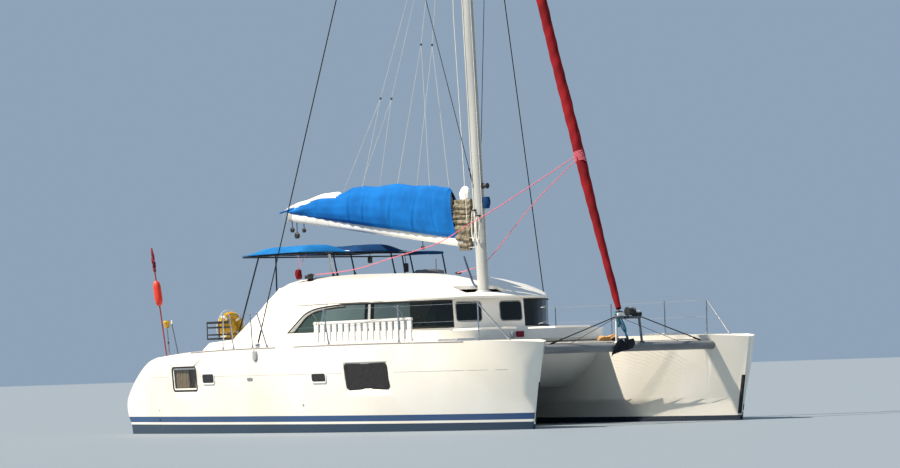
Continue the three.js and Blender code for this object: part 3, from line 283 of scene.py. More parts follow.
# Khaki from weathering; its dark low tone and dark gaps are painted shade.
weathered_and_shaded_sailcloth = woven("weathered_sail_folds_painted_shade", "#4C4638", "#8C8470", 8, 0.1, 60)
net_cord = woven("black_net_cord", "#1B1D20", "#303338", 4, 0.1)
curtain_cloth = woven("cream_curtain_linen", "#D9C3A2", "#F1E2C8", 5, 0.2, 70)
flag_cloth = woven("dark_red_flag_nylon", "#4A1424", "#A3283C", 4, 0.2, 60)
yellow_cover = woven("yellow_vinyl_cover", "#A07C1C", "#CFA63A", 5, 0.1, 80)
khaki_canvas = woven("khaki_canvas", "#A87B45", "#D3A468", 5, 0.2, 60)

white_rope = braided("white_braided_rope", "#C9C6BC", "#F0EEE8")
grey_rope = braided("grey_braided_rope", "#6F7276", "#A9ABAE")
red_rope = braided("red_white_braided_sheet", "#C2304A", "#F08A9A")
dark_rope = braided("navy_braided_rope", "#1B2A3F", "#3A5878")
teal_rope = braided("teal_braided_rope", "#0E5D70", "#2F93A8")

black_plastic = plastic("black_moulded_plastic", "#101214", "#26282B")
white_plastic = plastic("white_moulded_plastic", "#DCDAD3", "#F0EEE9", 0.4)
grey_plastic = plastic("grey_moulded_plastic", "#8D9092", "#ABADAE", 0.5)
rubber = plastic("black_rubber_seal", "#0C0D0E", "#1E1F21", 0.75, 2)
orange_foam = plastic("orange_float_vinyl", "#C92F14", "#E23C1E", 0.5)
pole_plastic = plastic("dark_red_pole_glassfibre", "#7E2B2A", "#9A3A36", 0.45)
toe_wood = plastic("weathered_toe_line", "#A39A97", "#BDB3AF", 0.6, 10)
print("cloths and plastics ready:", len(bpy.data.materials), "materials in the file")

# %% [markdown]
# ## Glazing
#
# The deckhouse has dark tinted acrylic, so from outside it reads as a deep greenish black with a clean
# reflection, and only hints of the saloon behind.
# Real glass that bends light would be slow and noisy in this much shade. A dark glossy shader that is
# partly see-through gives the same reading.
# The long side panes are painted lighter in places as painted light, where the far windows show through,
# and a pale band stands for a mullion behind them. Tint and painted light are read from a ramp along X.

# %% Glazing and wood finishes
def glazing(name, colour, alpha):
    material, tree, shader = finish(name, colour, 0.05, IOR=1.49, Alpha=alpha)
    bump(tree, shader, noise_in(tree, 1200, 1.0), 1.0, 0.06)
    return material


smoked = glazing("smoked_acrylic_glazing", "#0B1412", 0.72)
port_glass = glazing("hull_window_glass", "#0C1218", 0.35)
PANE_ENDS = (-2.0, 3.0)
# The lighter tints are painted light; the darkest are the glass's own tint.
PANE_TINTS_AND_PAINTED_LIGHT = [(-2.0, "#2C3B37"), (-0.45, "#4B5C5D"), (0.56, "#0B1010"), (0.625, "#B4B8B6"), (0.66, "#0B1010"),
              (0.73, "#465659"), (1.24, "#0A1311")]
pane_glass_painted_light, tree, shader = finish("tinted_side_windows_painted_light", "#0B1412", 0.05, IOR=1.49, Alpha=0.94)
along = node(tree, "SeparateXYZ", {"Vector": node(tree, "TexCoord").outputs["Object"]}).outputs["X"]
share = node(tree, "MapRange", {"Value": along, "From Min": PANE_ENDS[0], "From Max": PANE_ENDS[1]}).outputs[0]
stops = [((x - PANE_ENDS[0]) / (PANE_ENDS[1] - PANE_ENDS[0]), tint) for x, tint in PANE_TINTS_AND_PAINTED_LIGHT]
tree.links.new(ramp(tree, share, stops, "CONSTANT"), shader.inputs["Base Color"])
interior, tree, shader = finish("dim_interior_veneer", "#4A3626", 0.6)
wander(tree, shader, "#3B2A1D", "#5E4632", 300, (1, 1, 6))
teak = mottled("varnished_table_teak", "#6E4526", "#54341C", "#875A33", 0.35, 60, 0.3, 0.2, (12, 1, 1),
               Coat_Weight=0.4)

FINISHES_IN_SLOT = {
    "gelcoat": [gelcoat, hull_paint, trim_grey, toe_wood, white_plastic],
    "nonskid": [nonskid],
    "cabin_glass": [smoked, port_glass],
    "saloon_wood": [teak, interior],
    "anodised": [anodised, beam_metal, mast_metal, grey_plastic],
    "stainless": [stainless, dark_tube, grey_enamel_and_shade],
    "galvanised": [galvanised],
    "boom_paint": [boom_paint, sailcloth, weathered_and_shaded_sailcloth],
    "black_plastic": [black_plastic, rubber, dark_rope],
    "net": [net_cord, white_rope, grey_rope, teal_rope],
    "blue_canvas": [blue_canvas, sky_canvas, navy_and_shaded_canvas],
    "red_canvas": [red_canvas, red_rope, flag_cloth],
    "upholstery": [curtain_cloth, khaki_canvas, grey_cloth],
    "yellow_float": [yellow_cover],
    "orange_float": [orange_foam, pole_plastic],
}
SLOT_OF = {one.name: slot for slot, finishes in FINISHES_IN_SLOT.items() for one in finishes}
print("materials:", len(bpy.data.materials))

# %% [markdown]
# ## Helpers for shapes
#
# A modeller joins simple starting shapes: a box with softened edges, a turned profile, a tube along a path,
# a flat outline given thickness.
# Each helper below makes one of these with bmesh operators inside a mesh that is being built, so that a
# whole fitting ends as one piece.
# At the end, settle() gives the mesh a finish and its body, and shades it smooth apart from its real edges.

# %% Shape helpers
SHARP = math.radians(32)  # an edge that turns more than this stays crisp
UP, DOWN, ACROSS, AHEAD = (0, 0, 1), (0, 0, -1), (0, 1, 0), (1, 0, 0)


def settle(name, bm, material, body="platform", replaces=(), slot=None, angle=SHARP):
    """Makes the bmesh a finished piece that rides on a body. Its slot is worked out but not given to the piece."""
    finishes = material if isinstance(material, list) else [material]
    mesh = bpy.data.meshes.new(name)
    bm.to_mesh(mesh)
    bm.free()
    for one in finishes:
        mesh.materials.append(one)
    mesh.shade_smooth()
    mesh.set_sharp_from_angle(angle=angle)
    made = bpy.data.objects.new(name, mesh)
    bpy.context.scene.collection.objects.link(made)
    if replaces:
        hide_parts(*replaces)
    slot = slot or SLOT_OF.get(finishes[0].name)
    if body:
        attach(made, body)
    return made


def piece(name, material, *parts, **where):
    """Makes one piece of several parts; each part is a shape helper, followed by what it is given."""
    bm = bmesh.new()
    for shape, *given in parts:
        shape(bm, *given)
    return settle(name, bm, material, **where)


def box(bm, low, high, bevel=0.0):
    """A box between two corners, with softened edges if bevel is given."""
    low, high = Vector(low), Vector(high)
    size = Matrix.Diagonal((*(high - low), 1))
    verts = bmesh.ops.create_cube(bm, size=1, matrix=Matrix.Translation((low + high) / 2) @ size)["verts"]
    if bevel:
        soften(bm, [edge for edge in bm.edges if edge.verts[0] in verts], bevel, 2)


def soften(bm, edges, width, segments):
    bmesh.ops.bevel(bm, geom=edges, offset=width, offset_type="OFFSET", segments=segments, profile=0.5,
                    affect="EDGES", clamp_overlap=True, material=-1)


def turned(bm, profile, origin, axis=UP, steps=24):
    """Spins a profile of (radius, height) round an axis through the origin."""
    turn = Vector(UP).rotation_difference(Vector(axis)).to_matrix().to_4x4()
    where = Matrix.Translation(origin) @ turn
    verts = [bm.verts.new(where @ Vector((radius, 0, height))) for radius, height in profile]
    edges = [bm.edges.new(pair) for pair in zip(verts, verts[1:])]
    bmesh.ops.spin(bm, geom=verts + edges, cent=origin, axis=axis, steps=steps, angle=2 * math.pi, use_merge=True)
    bmesh.ops.remove_doubles(bm, verts=bm.verts[:], dist=1e-5)


def tubes(bm, paths, radius, sides=6, caps=True):
    """Round tubes along paths of points, through a curve that is turned into mesh."""
    curve = bpy.data.curves.new("tubes", "CURVE")
    curve.dimensions = "3D"
    curve.bevel_depth = radius
    curve.bevel_resolution = max(0, sides // 2 - 2)
    curve.use_fill_caps = caps
    for path in paths:
        spline = curve.splines.new("POLY")
        spline.points.add(len(path) - 1)
        for point, place in zip(spline.points, path):
            point.co = (*place, 1)
    holder = bpy.data.objects.new("tubes", curve)
    mesh = bpy.data.meshes.new_from_object(holder)
    bm.from_mesh(mesh)
    bpy.data.objects.remove(holder)
    bpy.data.curves.remove(curve)
    bpy.data.meshes.remove(mesh)


def smooth_path(points, steps=8):
    """A path with more points, on a smooth curve through the given ones."""
    points = [Vector(p) for p in points]
    ends = [2 * points[0] - points[1], *points, 2 * points[-1] - points[-2]]
    path = []
    for a, b, c, d in zip(ends, ends[1:], ends[2:], ends[3:]):
        for i in range(steps):
            t = i / steps
            path.append(0.5 * (2 * b + (c - a) * t + (2 * a - 5 * b + 4 * c - d) * t * t
                               + (3 * b - 3 * c + d - a) * t ** 3))
    return [*path, points[-1]]


def circle(count):
    """The angles of evenly spaced points round a circle."""
    return [2 * math.pi * k / count for k in range(count)]


def bridged(bm, rings, closed=True, caps=True):
    """A skin over rings of points, bridged one to the next."""
    loops = []
    for ring in rings:
        verts = [bm.verts.new(p) for p in ring]
        pairs = zip(verts, verts[1:] + verts[:1]) if closed else zip(verts, verts[1:])
        loops.append([bm.edges.new(pair) for pair in pairs])
    faces = []
    for a, b in zip(loops, loops[1:]):
        faces += bmesh.ops.bridge_loops(bm, edges=a + b)["faces"]
    if closed and caps:
        for loop in (loops[0], loops[-1]):
            faces += bmesh.ops.contextual_create(bm, geom=loop)["faces"]
    bmesh.ops.recalc_face_normals(bm, faces=faces)


def lofted(bm, point, steps, around, caps=True):
    """A closed skin from point(t, angle), where t goes from 0 to 1 along the form and the angle round it."""
    bridged(bm, [[point(i / steps, angle) for angle in circle(around)] for i in range(steps + 1)], caps=caps)


def rounded(a0, a1, b0, b1, radius, steps=4):
    """A flat outline: a rectangle with round corners."""
    a_in, b_in = (a0 + radius, a1 - radius), (b0 + radius, b1 - radius)
    corners = [(a_in[1], b_in[1]), (a_in[0], b_in[1]), (a_in[0], b_in[0]), (a_in[1], b_in[0])]
    outline = []
    for quarter, (a, b) in enumerate(corners):
        for i in range(steps + 1):
            angle = (quarter + i / steps) * math.pi / 2
            outline.append((a + radius * math.cos(angle), b + radius * math.sin(angle)))
    return outline


def from_node(name):
    """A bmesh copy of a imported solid, with its loose triangles joined."""
    bm = bmesh.new()
    bm.from_mesh(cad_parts[name].data)
    bmesh.ops.remove_doubles(bm, verts=bm.verts[:], dist=1e-5)
    bmesh.ops.dissolve_limit(bm, angle_limit=math.radians(0.3), verts=bm.verts[:], edges=bm.edges[:])
    return bm


def softened(name, piece_name, material, width, segments=2):
    """Stands for a solid with a copy whose edges are rounded."""
    bm = from_node(name)
    soften(bm, [e for e in bm.edges if len(e.link_faces) == 2 and e.calc_face_angle(0) > 0.6], width, segments)
    settle(piece_name, bm, material, replaces=[name])


def paint(name, material):
    """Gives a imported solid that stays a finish."""
    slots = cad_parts[name].data.materials
    slots.clear()
    slots.append(material)


print("softened edges turn sharp above", round(math.degrees(SHARP)), "degrees")

# %% [markdown]
# ## The camera and the room
#
# The photograph was taken from low on the water with a long lens, about 66 m away, ahead of the starboard
# beam.
# The place, aim, roll and focal length below were solved from the hull's outline, the bows and the rig, so
# the picture lines up with it.
# The floor is the water's surface: a plain pale plane at the waterline that hides the hulls' bottoms, as
# the sea does. The light is one broad soft key, high on the starboard quarter, and a pale sky.

# %% Camera, floor and light
CAMERA_PLACE = Vector((53.010, -39.154, 1.030))
AIM = {"azimuth": 53.55, "yaw": 0.239, "pitch": 2.026, "roll": 1.833}
FOCAL_PX, FRAME_PX, SENSOR = 3764.7, 900, 36.0

azimuth, yaw, pitch, roll = (math.radians(angle) for angle in AIM.values())
ahead = Vector((-math.sin(azimuth), math.cos(azimuth), 0))
aside = Vector((math.cos(azimuth), math.sin(azimuth), 0))
level_right = aside * math.cos(yaw) - ahead * math.sin(yaw)
level_ahead = ahead * math.cos(yaw) + aside * math.sin(yaw)
above = Vector(UP)
forward = level_ahead * math.cos(pitch) + above * math.sin(pitch)
raised = above * math.cos(pitch) - level_ahead * math.sin(pitch)
right = level_right * math.cos(roll) - raised * math.sin(roll)
upward = level_right * math.sin(roll) + raised * math.cos(roll)

camera_data = bpy.data.cameras.new("camera")
camera_data.sensor_width = SENSOR
camera_data.sensor_fit = "HORIZONTAL"
camera_data.lens = FOCAL_PX * SENSOR / FRAME_PX
camera_data.clip_end = 2000
camera = bpy.data.objects.new("camera", camera_data)
bpy.context.scene.collection.objects.link(camera)
axes = Matrix((right, upward, -forward)).transposed().to_4x4()
camera.matrix_world = Matrix.Translation(CAMERA_PLACE) @ axes
bpy.context.scene.camera = camera

FLOOR_HALF = 600.0
floor_bm = bmesh.new()
bmesh.ops.create_grid(floor_bm, x_segments=1, y_segments=1, size=FLOOR_HALF)
floor_finish = finish("pale_studio_floor", "#77828C", 0.6)[0]
floor = settle("studio_floor", floor_bm, floor_finish, body=None)

world = bpy.data.worlds.new("studio_sky")
bpy.context.scene.world = world
world.use_nodes = True
backdrop = world.node_tree.nodes["Background"]
backdrop.inputs["Color"].default_value = linear("#8FA3B8")
backdrop.inputs["Strength"].default_value = 1.0
bpy.context.scene.view_settings.view_transform = "Standard"  # keeps white gelcoat white, as in the photograph

TO_LIGHT = Vector((-0.31, -0.62, 1.0))
sun_data = bpy.data.lights.new("soft_key", "SUN")
sun_data.energy = 8.0
sun_data.angle = math.radians(1.2)
sun_data.color = linear("#FFF3E2")[:3]
sun = bpy.data.objects.new("soft_key", sun_data)
bpy.context.scene.collection.objects.link(sun)
sun.matrix_world = TO_LIGHT.to_track_quat("Z", "Y").to_matrix().to_4x4()
high_up = round(math.degrees(math.asin(TO_LIGHT.normalized().z)))
print("lens", round(camera_data.lens, 1), "mm; light", high_up, "degrees high")

# %% [markdown]
# ## The two hulls
#
# A catamaran's hulls are long, slim mouldings with a chine low on the tunnel side and a soft tumble at the
# deck edge.
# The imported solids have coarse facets, so a joined copy shaded smooth stands for each, with sharp edges
# only where the real hull has them.
# The deck faces of the copy get the grip texture, and everything else the striped gelcoat.

# %% Hull skins
DECK_UP = 0.7  # a face whose normal points up more than this is deck
LOWEST_DECK = 0.3
UNDER_WATER = {"keel": antifouling, "saildrive": drive_paint, "propeller": bronze, "engine": grey_enamel_and_shade,
               "rudder": antifouling}

for side in SIDES:
    bm = from_node(f"hull_{side}")
    for face in bm.faces:
        walked_on = face.normal.z > DECK_UP and face.calc_center_median().z > LOWEST_DECK
        face.material_index = 1 if walked_on else 0
    skin = settle(f"hull_skin_{side}", bm, [hull_paint, nonskid], replaces=[f"hull_{side}"])
    skin.modifiers.new("even_shading", "WEIGHTED_NORMAL").keep_sharp = True
    for solid, dress in UNDER_WATER.items():
        paint(f"{solid}_{side}", dress)

# %% [markdown]
# ## Along the deck edge
#
# A thin toe line runs along each sheer, where the deck moulding meets the hull, and a finer moulding line
# along the topsides below it.
# Both follow the hull, so their paths are traced on it: a ray is shot at the hull's outside at each
# station, just under the deck, and the hits are joined into a tube.

# %% Rays on the hull
TOE_LINE = [(-3.06, -0.25), (0.30, 4.60)]
MOULDING_LINE = (-4.6, 5.30)


def surface(name):
    mesh = bpy.data.objects[name].data
    return BVHTree.FromPolygons([v.co for v in mesh.vertices], [p.vertices for p in mesh.polygons])


skins = {side: surface(f"hull_skin_{side}") for side in SIDES}


def on_side(side, x, z, outward=0.0):
    """The point of a hull's outer side at (x, z), moved outward by a little."""
    start = Vector((x, SIDES[side] * 4.0, z))
    hit, normal, _, _ = skins[side].ray_cast(start, Vector((0, -SIDES[side], 0)))
    return None if hit is None else hit + normal * outward


def along_side(side, x0, x1, height, outward, count):
    """A path along a hull; height is a function of x."""
    hits = [on_side(side, x, height(x), outward) for x in (x0 + (x1 - x0) * i / count for i in range(count + 1))]
    return [hit for hit in hits if hit]


def deck_height(side, x):
    """The height of the hull's top just inside its outer edge."""
    for step in range(40):
        y = SIDES[side] * (3.30 - 0.03 * step)
        hit = skins[side].ray_cast(Vector((x, y, 3)), Vector(DOWN))[0]
        if hit and hit.z > 1.0:
            return hit.z
    return 1.4


for side in SIDES:
    toe = [along_side(side, x0, x1, lambda x: deck_height(side, x) - 0.007, 0.001, 50) for x0, x1 in TOE_LINE]
    piece(f"toe_line_{side}", toe_wood, (tubes, toe, 0.009, 8))
    line = along_side(side, *MOULDING_LINE, lambda x: 0.985 - 0.004 * (x - 2), 0.0, 60)
    piece(f"topside_line_{side}", grey_plastic, (tubes, [line], 0.0030), slot="gelcoat")
print("toe line from", tuple(round(c, 2) for c in toe[0][0]), "to", tuple(round(c, 2) for c in toe[-1][-1]))

# %% [markdown]
# ## Stem guards
#
# The black guard on each stem is a strip of rubber bent over the stem's edge, against the chain of a
# mooring. It is a short loft: a U-shaped ring is set round the stem at each height and the rings are
# bridged.
# The stem is straight there, so its line is found from rays at two heights only.

# %% Stem guards
GUARD = {"low": 0.11, "high": 0.75, "half": 0.030, "proud": 0.006, "reach": 0.055, "thick": 0.012}


def stem_tip(side, z):
    """The foremost point of the stem at a height."""
    starts = [Vector((6.5, SIDES[side] * (2.05 + 0.004 * i), z)) for i in range(80)]
    hits = [skins[side].ray_cast(start, Vector((-1, 0, 0)))[0] for start in starts]
    return max((hit for hit in hits if hit), key=lambda hit: hit.x)


def guard_ring(tip):
    angles = [math.pi * (i / 8 - 0.5) for i in range(9)]
    front = [Vector((tip.x + GUARD["proud"] - GUARD["reach"] * (1 - math.cos(a)),
                     tip.y + GUARD["half"] * math.sin(a), tip.z)) for a in angles]
    back = [Vector((p.x - GUARD["thick"], tip.y + (p.y - tip.y) * 0.6, tip.z)) for p in reversed(front)]
    return front + back


for side in SIDES:
    low_tip, high_tip = stem_tip(side, GUARD["low"]), stem_tip(side, GUARD["high"])
    rings = [guard_ring(low_tip.lerp(high_tip, step / 12)) for step in range(13)]
    piece(f"stem_guard_{side}", rubber, (bridged, rings))
print("stem at the guard's foot", round(stem_tip("starboard", 0.1).x, 3), "m forward")

# %% [markdown]
# ## Windows and ports in the topsides
#
# Each hull has two big fixed lights with a cream curtain drawn half across, and two small opening ports in
# white surrounds.
# The big lights are pockets in the solids, so the frame, the pane and the curtain are set into them. All
# three must follow the hull's curve.
# Four points of the hull round the opening give a slightly twisted sheet, and every outline is laid on that
# sheet, at its own distance out or in.

# %% Openings in the topsides
LIGHTS = [(-3.80, -2.92, 0.76, 1.18), (1.75, 2.85, 0.72, 1.13)]
PORTS = [(-2.68, -2.31, 0.895, 1.035), (0.80, 1.18, 0.865, 0.985)]
FRAME_SECTION = [(0.014, -0.004), (0.014, 0.006), (0.008, 0.010), (-0.010, 0.010), (-0.016, 0.004), (-0.018, -0.020)]
INNER_SECTION = [(-0.016, -0.022), (-0.016, -0.006), (-0.028, -0.004), (-0.042, -0.008), (-0.044, -0.022)]
PORT_SECTION = [(0.034, -0.003), (0.034, 0.010), (0.028, 0.015), (0.010, 0.015), (0.004, 0.010), (0.004, -0.003)]
LIGHT_CORNER, PORT_CORNER = 0.06, 0.03


def sheet_on_side(side, x0, x1, z0, z1):
    """A function that puts (x, z) on the hull's outer side, and an outward distance from it."""
    pad = 0.035
    xs, zs = (x0 - pad, x1 + pad), (z0 - pad, z1 + pad)
    corner = {(i, j): on_side(side, xs[i], zs[j]) for i in (0, 1) for j in (0, 1)}
    normal = (corner[1, 0] - corner[0, 0]).cross(corner[0, 1] - corner[0, 0]).normalized()
    if normal.y * SIDES[side] < 0:
        normal.negate()

    def at(x, z, out=0.0):
        u, v = (x - x0 + pad) / (x1 - x0 + 2 * pad), (z - z0 + pad) / (z1 - z0 + 2 * pad)
        low, high = (corner[0, j].lerp(corner[1, j], u) for j in (0, 1))
        return low.lerp(high, v) + normal * out
    return at


def framed(bm, at, opening, radius, section):
    """A frame round an opening; section gives (margin, outward) pairs, from the outside to the inside."""
    x0, x1, z0, z1 = opening
    rings = []
    for margin, out in section:
        outline = rounded(x0 - margin, x1 + margin, z0 - margin, z1 + margin, max(radius + margin, 0.004))
        rings.append([at(x, z, out) for x, z in outline])
    bridged(bm, rings, caps=False)


def pane(bm, at, opening, grow, radius, out, thickness):
    """A flat pane with round corners and a little thickness, larger than its opening by grow."""
    x0, x1, z0, z1 = opening
    outline = rounded(x0 - grow, x1 + grow, z0 - grow, z1 + grow, radius)
    bridged(bm, [[at(x, z, out - depth) for x, z in outline] for depth in (thickness, 0.0)])


for side in SIDES:
    lights = [(sheet_on_side(side, *opening), opening) for opening in LIGHTS]
    ports = [(sheet_on_side(side, *opening), opening) for opening in PORTS]
    piece(f"light_frames_{side}", rubber, *[(framed, *light, LIGHT_CORNER, FRAME_SECTION) for light in lights])
    piece(f"light_inner_frames_{side}", white_plastic,
          *[(framed, *light, LIGHT_CORNER, INNER_SECTION) for light in lights], slot="anodised")
    piece(f"light_panes_{side}", port_glass,
          *[(pane, *light, -0.003, LIGHT_CORNER - 0.003, -0.012, 0.008) for light in lights])
    piece(f"port_surrounds_{side}", white_plastic, *[(framed, *port, PORT_CORNER, PORT_SECTION) for port in ports])
    piece(f"port_panes_{side}", black_plastic,
          *[(pane, *port, 0.003, PORT_CORNER, 0.0135, 0.012) for port in ports], slot="cabin_glass")
print("openings on each side:", len(LIGHTS), "lights and", len(PORTS), "ports")

# %% [markdown]
# ## Curtains in the big lights
#
# The curtains are unlined linen, gathered on a wire. A gathered curtain is a wavy sheet whose folds open a
# little towards the hem.
# It is a grid that is bent by a sum of two waves in the cell below. Its cut width is the length of that
# wave, which the script measures.

# %% Curtains
CURTAINS = [(0, 0.03, 0.60, 7), (1, 0.04, 0.36, 5)]  # the light, the shares of its width, the number of folds
HEM, SET_BACK, FOLD = 0.012, 0.045, 0.009


def gathered(bm, at, x0, x1, z0, z1, folds, columns=96, rows=6):
    """A wavy curtain between x0 and x1; gives the length of cloth across it."""
    grid = []
    for v in (j / rows for j in range(rows + 1)):
        row = []
        for u in (i / columns for i in range(columns + 1)):
            swell = FOLD * (1.15 - 0.4 * v)
            wave = math.sin(2 * math.pi * folds * u) + 0.35 * math.sin(2 * math.pi * folds * 1.7 * u + 1.3 + v)
            row.append(bm.verts.new(at(x0 + (x1 - x0) * u, z0 + (z1 - z0) * v, -SET_BACK + swell * wave)))
        grid.append(row)
    for low, high in zip(grid, grid[1:]):
        for corners in zip(low, low[1:], high[1:], high):
            bm.faces.new(corners)
    middle = grid[rows // 2]
    return sum((a.co - b.co).length for a, b in zip(middle, middle[1:]))


for side in SIDES:
    for light, start, end, folds in CURTAINS:
        x0, x1, z0, z1 = LIGHTS[light]
        width = x1 - x0
        bm = bmesh.new()
        at = sheet_on_side(side, *LIGHTS[light])
        length = gathered(bm, at, x0 + start * width, x0 + end * width, z0 + HEM, z1 - HEM, folds)
        curtain = settle(f"curtain_{side}_{light}", bm, curtain_cloth)
print("a curtain takes", round(length, 2), "m of cloth")

# %% [markdown]
# ## Small fittings on the topsides
#
# The shroud's chainplate ends in a grey teardrop cover, a louvred vent breathes the bilge, and a few
# through-hull fittings drain the sinks and pumps.
# They are turned or domed shapes set on the hull by rays, with their backs a few millimetres in.

# %% Topside fittings
DOME = [(0.0, -0.004), (0.0, 0.3), (0.10, 0.7), (0.28, 0.95), (0.5, 1.0), (0.8, 1.0)]  # shares of radius and height
VENT = (-1.22, -1.02, 0.90, 0.97)
LOUVRES = [(-1.185 + 0.033 * i, -1.171 + 0.033 * i, 0.916, 0.954) for i in range(5)]


def domed(bm, at, x0, x1, z0, z1, height):
    """A low dome with a rounded outline."""
    radius = min(x1 - x0, z1 - z0) / 2 * 0.98
    rings = []
    for inset, rise in DOME:
        shift = inset * radius
        outline = rounded(x0 + shift, x1 - shift, z0 + shift, z1 - shift, max(radius - shift, 0.002))
        rings.append([at(x, z, height * rise) for x, z in outline])
    bridged(bm, rings)


def through_hull(bm, side, x, z, radius):
    place = on_side(side, x, z)
    outward = (on_side(side, x, z, 0.1) - place).normalized()
    section = [(0.0, -0.004), (radius, -0.004), (radius, 0.004), (radius * 0.7, 0.007), (radius * 0.6, 0.0), (0.0, 0.0)]
    turned(bm, section, place, outward, 14)


for side in SIDES:
    cover_at, vent_at = sheet_on_side(side, -0.98, -0.80, 1.24, 1.40), sheet_on_side(side, *VENT)
    piece(f"chainplate_cover_{side}", grey_plastic, (domed, cover_at, -0.965, -0.815, 1.235, 1.440, 0.026),
          (domed, vent_at, -1.21, -1.03, 0.902, 0.968, 0.010), (through_hull, side, 0.42, 0.47, 0.022), slot="gelcoat")
    piece(f"through_hulls_{side}", black_plastic, (through_hull, side, -4.50, 0.245, 0.022),
          (through_hull, side, -4.46, 0.42, 0.012))
    piece(f"vent_louvres_{side}", grey_enamel_and_shade, *[(pane, vent_at, louvre, 0, 0.005, 0.012, 0.004) for louvre in LOUVRES],
          slot="black_plastic")
print("louvres in a vent:", len(LOUVRES))

# %% [markdown]
# ## Bridgedeck, foredeck and deckhouse
#
# These mouldings carry the living space. As on the hulls, a joined and smoothed copy stands for each coarse
# solid, with the grip texture where people walk.
# Inside the saloon the walls are veneered, so faces inside the deckhouse's shell get a dim wood finish.
# They show only through the dark glass.

# %% Superstructure skins
SHELLS = {"bridgedeck": ("bridgedeck_skin", 28, True), "foredeck": ("foredeck_skin", 28, True),
          "cabin": ("deckhouse_skin", 28, False), "coachroof": ("coachroof_skin", 14, False)}


def inside_saloon(face):
    """Whether a face lines the saloon: a ceiling, the sole, or a wall that faces the middle."""
    middle, normal = face.calc_center_median(), face.normal
    if not (-1.72 < middle.x < 1.66 and abs(middle.y) < 2.1 and 0.8 < middle.z < 2.7):
        return False
    if 1.02 < middle.x and abs(middle.y) < 0.56 and middle.z > 2.2 and normal.z > -0.5:
        return False  # the recess round the mast's foot is outdoors
    inward = -(middle.x * normal.x + middle.y * normal.y)
    ceiling = normal.z < -0.5 and middle.z > 2.0
    sole = normal.z > 0.9 and middle.z < 1.0 and abs(middle.y) < 1.5
    wall = abs(normal.z) < 0.5 and inward > 0.25
    return ceiling or sole or wall


for solid, (skin_name, sharp, has_deck) in SHELLS.items():
    bm = from_node(solid)
    for face in bm.faces:
        if solid != "foredeck" and inside_saloon(face):
            face.material_index = 2
        elif has_deck and face.normal.z > DECK_UP:
            face.material_index = 1
    settle(skin_name, bm, [gelcoat, nonskid, interior], replaces=[solid], angle=math.radians(sharp))
for side in SIDES:
    paint(f"cabin_glass_{side}", pane_glass_painted_light)
    paint(f"front_window_{side}", smoked)
paint("saloon_door", smoked)
print("superstructure skins made from", len(SHELLS), "solids")

# %% [markdown]
# ## Rims round the glass
#
# A black rubber bead seals the deckhouse glass, and grey frames hold the two opening windows in front of
# the helm's view.
# The bead's path is the rim of each pane itself. The edges between a pane's outer faces and its rim are
# chained into a loop, and a tube follows the loop.
# At the aft end the side panes are masked by a grey arch, which is laid on the glass point by point.

# %% Beads along rims
ARCH = [(-1.39, 1.712), (-1.13, 1.905), (-0.98, 2.015), (-0.84, 2.068), (-0.68, 2.105), (-0.38, 2.135), (0.20, 2.165)]
ARCH_INNER = [(-1.19, 1.712), (-1.01, 1.875), (-0.90, 1.970), (-0.78, 2.028), (-0.64, 2.070), (-0.36, 2.108),
              (0.20, 2.146)]
GLASS_FOOT = {"y": 2.235, "z": 1.712, "lean": 0.26}
BEAD, FRAME_BEAD = 0.014, 0.010


def from_straightest(points):
    """A closed path that starts and ends where the points turn least, because a tube has a seam there."""
    turns = [(b - a).angle(c - b) for a, b, c in zip(points[-1:] + points, points, points[1:] + points[:1])]
    start = turns.index(min(turns))
    return points[start:] + points[:start + 1]


def rim_loops(name, keep):
    """The closed loops round the faces of a node that keep() picks.

    The edges are sorted by place, so that a loop starts at the same corner in each run.
    """
    bm = from_node(name)
    chosen = {face for face in bm.faces if keep(face)}
    edges = [edge for edge in bm.edges if sum(face in chosen for face in edge.link_faces) == 1]
    edges.sort(key=lambda edge: tuple(edge.verts[0].co + edge.verts[1].co))
    loops = []
    while edges:
        loop = sorted(edges.pop().verts, key=lambda vert: tuple(vert.co))
        while True:
            onward = next((e for e in loop[-1].link_edges if e in edges), None)
            if onward is None:
                break
            edges.remove(onward)
            loop.append(onward.other_vert(loop[-1]))
        loops.append(from_straightest([vert.co.copy() for vert in loop[:-1]]))
    bm.free()
    return loops


def on_glass(tree, sign, x, z):
    """The point of a side pane nearest to (x, z), a little outside it."""
    y = (GLASS_FOOT["y"] - GLASS_FOOT["lean"] * (z - GLASS_FOOT["z"])) * sign
    hit, normal = tree.find_nearest(Vector((x, y, z)))[:2]
    return hit + normal * 0.003


for side, sign in SIDES.items():
    glass = surface(f"cabin_glass_{side}")
    outer, inner = (smooth_path([(x, 0, z) for x, z in line], 5) for line in (ARCH, ARCH_INNER))
    rings = [[on_glass(glass, sign, a.x * (1 - t) + b.x * t, max(1.722, (a.z * (1 - t) + b.z * t) - 0.012))
              for t in (0.06, 0.5, 1.0)] for a, b in zip(outer, inner)]
    arch_trim = piece(f"arch_trim_{side}", trim_grey, (bridged, rings, False))
    arch_trim.modifiers.new("moulding", "SOLIDIFY").thickness = 0.004
    piece(f"arch_bead_{side}", rubber, (tubes, [[ring[-1] for ring in rings]], BEAD, 8))

for side, sign in SIDES.items():
    pane_rim = rim_loops(f"cabin_glass_{side}", lambda face: face.normal.y * sign > 0.35 or face.normal.x > 0.35)
    window_rim = rim_loops(f"front_window_{side}", lambda face: face.normal.x > 0.5)
    piece(f"glass_bead_{side}", rubber, (tubes, pane_rim, BEAD, 8, False))
    piece(f"front_window_frame_{side}", grey_plastic, (tubes, window_rim, FRAME_BEAD, 8, False))
piece("red_reflector", flag_cloth, (box, (2.945, -0.54, 1.50), (2.956, -0.37, 1.60), 0.003))
piece("front_cleat_plate", grey_plastic, (box, (2.940, -0.64, 1.49), (2.975, -0.58, 1.59), 0.010))
print("beads round", len(SIDES) * 2, "panes")

